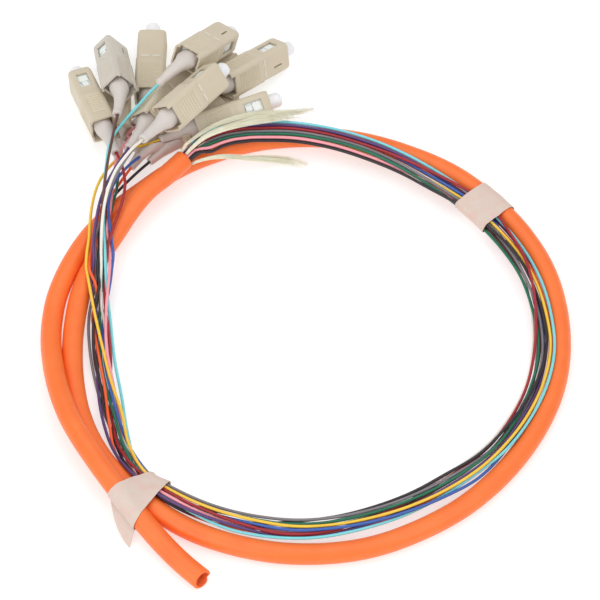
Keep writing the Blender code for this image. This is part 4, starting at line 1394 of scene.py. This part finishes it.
@dataclass
class PaperTape:
    """A strip of paper tape wound round the cords that pass a point of the jacket."""

    name: str
    node: str
    middle: tuple[float, float, float]
    width: float = 12.0 * MM
    gap: float = 0.3 * MM
    thickness: float = 0.14 * MM
    reach: float = 14 * MM
    crease_height: float = 0.07 * MM
    edge_waver: float = 0.12 * MM
    narrowed: float = 0.0
    torn_tip: tuple[float, float, float] | None = None
    torn_tip_mm: float = 0.7
    tail_steps: int = 16
    directions: int = 240
    stations: int = 120
    rows: int = 13

    def crossings(self, route: np.ndarray, here: np.ndarray, along: np.ndarray) -> list[np.ndarray]:
        """Where a route passes a plane, within reach of the tape.

        Args:
            route: the route's points.
            here: a point of the plane.
            along: the direction that the plane faces.

        Returns:
            The points.
        """
        level = (route - here) @ along
        spots = np.nonzero(level[:-1] * level[1:] <= 0)[0]
        share = level[spots] / (level[spots] - level[spots + 1])
        found = route[spots] + share[:, None] * (route[spots + 1] - route[spots])
        return [point for point in found if np.linalg.norm(point - here) < self.reach]

    def outline(
        self, here: np.ndarray, along: np.ndarray, cords: Sequence[tuple[np.ndarray, float]]
    ) -> np.ndarray:
        """The tight outline of the cords in a plane, as evenly spaced points.

        For each direction the farthest cord gives one point: its centre plus its radius and the gap
        along that direction. Even spacing along the joined points then fills the straight spans.

        Args:
            here: a point of the plane.
            along: the direction that the plane faces.
            cords: the route and radius of each cord.

        Returns:
            The outline's points.
        """
        side = unit(np.cross((0.0, 0.0, 1.0), along))
        up = np.cross(along, side)
        circles = [(point, radius) for route, radius in cords for point in self.crossings(route, here, along)]
        flat = np.array([((point - here) @ side, (point - here) @ up) for point, _ in circles])
        radii = np.array([radius for _, radius in circles]) + self.gap
        angle = ring_angles(self.directions)
        ways = np.column_stack([np.cos(angle), np.sin(angle)])
        farthest = (ways @ flat.T + radii).argmax(axis=1)
        ring = flat[farthest] + radii[farthest][:, None] * ways
        closed = np.vstack([ring, ring[:1]])
        length = np.concatenate([[0.0], np.cumsum(np.linalg.norm(np.diff(closed, axis=0), axis=1))])
        wanted = np.arange(self.stations) / self.stations * length[-1]
        spot = np.column_stack([np.interp(wanted, length, closed[:, k]) for k in range(2)])
        return here + spot[:, :1] * side + spot[:, 1:] * up

    def inner_share(self, rings: np.ndarray, side: np.ndarray) -> np.ndarray:
        """How far towards the fibres each point lies.

        Args:
            rings: the rings' points.
            side: the direction from the jacket to the fibres.

        Returns:
            For each point a share from 0, at the jacket's side, to 1.
        """
        across = rings @ side
        low, high = across.min(axis=1, keepdims=True), across.max(axis=1, keepdims=True)
        return (across - low) / (high - low)

    def tail(
        self, points: np.ndarray, outward: np.ndarray, side: np.ndarray, along: np.ndarray
    ) -> np.ndarray:
        """The torn end of the strip: a flap that leaves the outer side and narrows to a point.

        Each line of it is a curve with one control point: it starts on the sleeve, passes a point
        that stands out beside the jacket, and ends beside the tip on the level that the cable lies on.

        Args:
            points: the sleeve's points.
            outward: the outward direction at each of them.
            side: the direction from the jacket to the fibres.
            along: the jacket's direction at the tape.

        Returns:
            An array of lines by points by three.
        """
        bulge, clearance, drop, off_sleeve_mm = 2.2 * MM, 0.2 * MM, 0.45, 0.06
        way = -side
        column = int((outward[self.rows // 2] @ way).argmax())
        base = points[:, column]
        spread = np.linspace(-0.5, 0.5, self.rows)[:, None]
        end = planned(self.torn_tip) + along * spread * self.torn_tip_mm * MM
        control = 0.5 * base + 0.5 * end + way * (bulge * (0.5 - spread) + clearance)
        control[:, 2] = np.minimum(control[:, 2], drop * base[:, 2])
        t = np.linspace(0.0, 1.0, self.tail_steps)[None, :, None]
        sheet = (1 - t) ** 2 * base[:, None] + 2 * t * (1 - t) * control[:, None] + t**2 * end[:, None]
        return sheet + way * off_sleeve_mm * MM

    def build(self, cords: Sequence[tuple[np.ndarray, float]], wardrobe: Wardrobe) -> bpy.types.Object:
        """Lofts the outlines across the tape's width into a thin closed sleeve with slight creases.

        Args:
            cords: the route and radius of each cord, the jacket's first.
            wardrobe: gives the material.

        Returns:
            The piece.
        """
        jacket = cords[0][0]
        nearest = int(np.linalg.norm(jacket - planned(self.middle), axis=1).argmin())
        centre = jacket[nearest]
        along = unit(jacket[nearest + 2] - jacket[nearest - 2])
        side = unit(np.cross((0.0, 0.0, 1.0), along))
        shares = np.linspace(-0.5, 0.5, self.rows)
        rings = np.array([
            self.outline(centre + along * share * self.width, along, cords) for share in shares
        ])
        outward = unit(rings - rings.mean(axis=1, keepdims=True))
        inner_share = self.inner_share(rings, side)
        rings = rings - along * (shares[:, None] * self.width * self.narrowed * inner_share)[..., None]
        u = ring_angles(self.stations)
        v = shares[:, None] * math.tau
        crease = (
            0.5 * np.sin(3 * u + 1.5 * v) + 0.3 * np.sin(11 * u - 2 * v + 1)
            + 0.2 * np.sin(23 * u + 3 * v)
        )
        points = rings + outward * (self.crease_height * crease)[..., None]
        edge = self.edge_waver * (np.sin(3 * u) + 0.5 * np.sin(7 * u + 1))
        points[0] += along * np.minimum(edge, 0)[:, None]
        points[-1] += along * np.maximum(edge, 0)[:, None]
        faces = [grid_faces(self.rows, self.stations, True)]
        flat = points.reshape(-1, 3)
        if self.torn_tip:
            tail = self.tail(points, outward, side, along)
            faces.append(grid_faces(self.rows, self.tail_steps, False)[:, ::-1] + len(flat))
            flat = np.vstack([flat, tail.reshape(-1, 3)])
        piece = make_object(self.name, flat, faces)
        wall = piece.modifiers.new("paper", "SOLIDIFY")
        wall.thickness = self.thickness
        wall.offset = 1
        settle(piece)
        sharpen(piece, 50)
        dress(piece, [wardrobe.get(Finish.TAPE.value)], FIXED_BODY)
        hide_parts(self.node)
        return piece


@dataclass
class AramidYarn:
    """Frayed yarn at the stripped end: tufts of fine strands that leave a ring round the fibres."""

    strands: int = 95
    strand_radius: float = 0.07 * MM
    sides: int = 4
    points_each: int = 22
    root_radius_mm: float = 2.6
    spread: tuple[float, float] = (0.75 * MM, 0.26 * MM)
    widest: tuple[float, float] = (1.5 * MM, 0.5 * MM)
    wave_mm: tuple[float, float] = (0.1, 0.35)
    shortest: float = 0.8
    seed: int = 7
    # For each tuft its angle round the mouth, in degrees, and the points that it passes, in mm.
    tufts: tuple = (
        (60.0, (
            (-26.0, 55.5, 12.8), (-16.0, 60.5, 11.2), (-6.0, 63.3, 8.6), (1.0, 67.0, 5.0), (6.0, 70.8, 2.0),
        )),
        (100.0, ((-27.0, 51.3, 14.2), (-17.0, 56.5, 12.8), (-7.0, 60.0, 10.8), (2.0, 62.5, 8.8))),
        (195.0, ((-24.0, 46.5, 9.0), (-15.0, 49.0, 5.0), (-5.0, 50.5, 1.9), (4.0, 48.5, 1.2))),
    )

    def strand(self, spine: np.ndarray, random: np.random.Generator) -> np.ndarray:
        """One strand: the tuft's middle line plus an offset that grows to the end and a slow wave.

        Args:
            spine: the tuft's middle line.
            random: gives the offset, the wave and where the strand ends.

        Returns:
            The strand's points.
        """
        share = np.linspace(0, 1, len(spine))
        _, across, above = path_frames(spine)
        widest = np.array(self.widest)
        spread = np.clip(random.normal(0, 1, 2) * self.spread, -widest, widest)
        wave = random.uniform(*self.wave_mm, 2) * MM
        phase = random.uniform(0, math.tau, 2)
        count = int(len(spine) * random.uniform(self.shortest, 1.0))
        widen = np.interp(share, (0, 0.25, 0.8, 1), (0.25, 0.55, 1.0, 1.15))
        sway = spread[0] * widen + wave[0] * share * np.sin(share * 9 + phase[0])
        rise = spread[1] * widen + 0.5 * wave[1] * share * np.sin(share * 7 + phase[1])
        return (spine + across * sway[:, None] + above * rise[:, None])[:count]

    def build(self, jacket: Jacket, wardrobe: Wardrobe) -> bpy.types.Object:
        """Sweeps each strand, thinner to its end, along its tuft's route.

        Args:
            jacket: the jacket, whose mouth the yarn leaves.
            wardrobe: gives the material.

        Returns:
            The piece.
        """
        random = np.random.default_rng(self.seed)
        mouth = jacket.route[0]
        out = unit(jacket.route[0] - jacket.route[1])
        side = unit(np.cross((0.0, 0.0, 1.0), out))
        up = np.cross(out, side)
        all_points, all_faces, start = [], [], 0
        for angle, route in self.tufts:
            way = math.cos(math.radians(angle)) * side + math.sin(math.radians(angle)) * up
            root = mouth + out * 0.3 * MM + way * self.root_radius_mm * MM
            spine = np.vstack([root, root + out * 3 * MM + way * 1.0 * MM, planned(route)])
            spine = curve_through(spine, path_length(spine) / (self.points_each - 1))
            for _ in range(self.strands):
                strand = self.strand(spine, random)
                share = np.linspace(0, 1, len(strand))
                thin = self.strand_radius * np.interp(share, (0, 0.8, 1), (1.0, 0.9, 0.4))
                all_points += [swept(strand, thin, self.sides).reshape(-1, 3), strand[:1], strand[-1:]]
                all_faces += [part + start for part in tube_faces(len(strand), self.sides)]
                start += len(strand) * self.sides + 2
        piece = make_object("aramid_strands", np.vstack(all_points), all_faces)
        dress(piece, [wardrobe.get(Finish.YARN.value)], FIXED_BODY)
        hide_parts("aramid_yarn")
        return piece


# Stage


@dataclass(frozen=True)
class SoftLight:
    """A square light that faces the cable's middle."""

    name: str
    place: tuple[float, float, float]
    size: float
    power: float

    def build(self) -> None:
        """Adds the light to the scene."""
        data = bpy.data.lights.new(self.name, "AREA")
        data.size = self.size
        data.energy = self.power
        lamp = bpy.data.objects.new(self.name, data)
        lamp.location = self.place
        away = unit(np.array(self.place))
        lamp.rotation_euler = (math.acos(away[2]), 0.0, math.atan2(away[1], away[0]) + math.pi / 2)
        bpy.context.scene.collection.objects.link(lamp)


@dataclass
class Studio:
    """The pale floor, the soft lights and the camera at the photograph's angle."""

    elevation: float = 56.0
    distance: float = 1.0
    focal_pixels: float = 3350.0
    image_pixels: float = 600.0
    floor_reach: float = 3.0
    floor_grey: float = 0.6
    floor_glow: float = 0.52
    sky_strength: float = 0.6
    lights: tuple[SoftLight, ...] = (
        SoftLight("overhead", (0.0, 0.1, 1.1), 1.2, 4.6),
        SoftLight("from_left", (-0.7, -0.8, 0.7), 0.9, 4.2),
        SoftLight("from_right", (0.8, -0.6, 0.9), 0.7, 2.2),
    )

    def build(self) -> None:
        """Sets up the floor, the lights, the sky and the camera."""
        self.make_floor()
        for light in self.lights:
            light.build()
        self.make_sky()
        self.make_camera()

    def make_floor(self) -> None:
        """A wide level floor that the cable lies on, grey with a white glow so shadows stay pale."""
        corners = np.array([(-1, -1, 0), (1, -1, 0), (1, 1, 0), (-1, 1, 0)]) * self.floor_reach
        floor = make_object("floor", corners, [np.array([[0, 1, 2, 3]])])
        material = bpy.data.materials.new("floor_white")
        material.use_nodes = True
        shader = material.node_tree.nodes["Principled BSDF"]
        shader.inputs["Base Color"].default_value = (*[self.floor_grey] * 3, 1.0)
        shader.inputs["Roughness"].default_value = 0.9
        shader.inputs["Specular IOR Level"].default_value = 0.1
        shader.inputs["Emission Color"].default_value = (1.0, 1.0, 1.0, 1.0)
        shader.inputs["Emission Strength"].default_value = self.floor_glow
        floor.data.materials.append(material)

    def make_sky(self) -> None:
        """A plain white sky, with colours shown as they are."""
        scene = bpy.context.scene
        world = bpy.data.worlds.new("white_sky")
        world.use_nodes = True
        sky = world.node_tree.nodes["Background"]
        sky.inputs["Color"].default_value = (1.0, 1.0, 1.0, 1.0)
        sky.inputs["Strength"].default_value = self.sky_strength
        scene.world = world
        scene.view_settings.view_transform = "Standard"

    def make_camera(self) -> None:
        """A long lens from in front and above, its axis on the plan's origin."""
        data = bpy.data.cameras.new("camera")
        data.sensor_width = 36.0
        data.lens = data.sensor_width * self.focal_pixels / self.image_pixels
        data.clip_start, data.clip_end = 0.05, 20.0
        camera = bpy.data.objects.new("camera", data)
        tilt = math.radians(self.elevation)
        camera.location = np.array((0.0, -math.cos(tilt), math.sin(tilt))) * self.distance - ORIGIN
        camera.rotation_euler = (math.pi / 2 - tilt, 0.0, 0.0)
        bpy.context.scene.collection.objects.link(camera)
        bpy.context.scene.camera = camera


def clear_startup() -> None:
    """Removes what Blender's startup scene holds beside the frame."""
    for name in ("Cube", "Light", "Camera"):
        startup = bpy.data.objects.get(name)
        if startup:
            bpy.data.objects.remove(startup, do_unlink=True)


def main() -> None:
    """Builds every sub-assembly in order."""
    logging.basicConfig(level=logging.INFO, format="%(name)s: %(message)s")
    clear_startup()
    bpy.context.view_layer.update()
    Studio().build()
    wardrobe = Wardrobe()
    jacket = Jacket()
    jacket.read_route()
    jacket.declare(jacket.build(wardrobe))
    connectors = {}
    for colour, (front, turn, bend) in CONNECTOR_PLACES.items():
        connectors[colour] = Connector(colour, front, turn, bend).build(wardrobe)
    covered = CoveredConnectors().build(wardrobe)
    cords = [(jacket.route, jacket.radius)]
    for colour in COATINGS:
        fibre = Fibre(colour)
        piece = fibre.build(jacket, wardrobe)
        fibre.declare(piece, connectors.get(colour, [covered]))
        cords.append((fibre.route, fibre.radius))
    PaperTape("right_paper_tape", "tape_right", (58.0, 33.0, 3.7)).build(cords, wardrobe)
    PaperTape(
        "left_paper_tape", "tape_left", (-46.2, -70.6, 3.7), narrowed=0.5, torn_tip=(-48.6, -84.9, 0.4)
    ).build(cords, wardrobe)
    AramidYarn().build(jacket, wardrobe)
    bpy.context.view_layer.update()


if __name__ == "__main__":
    main()
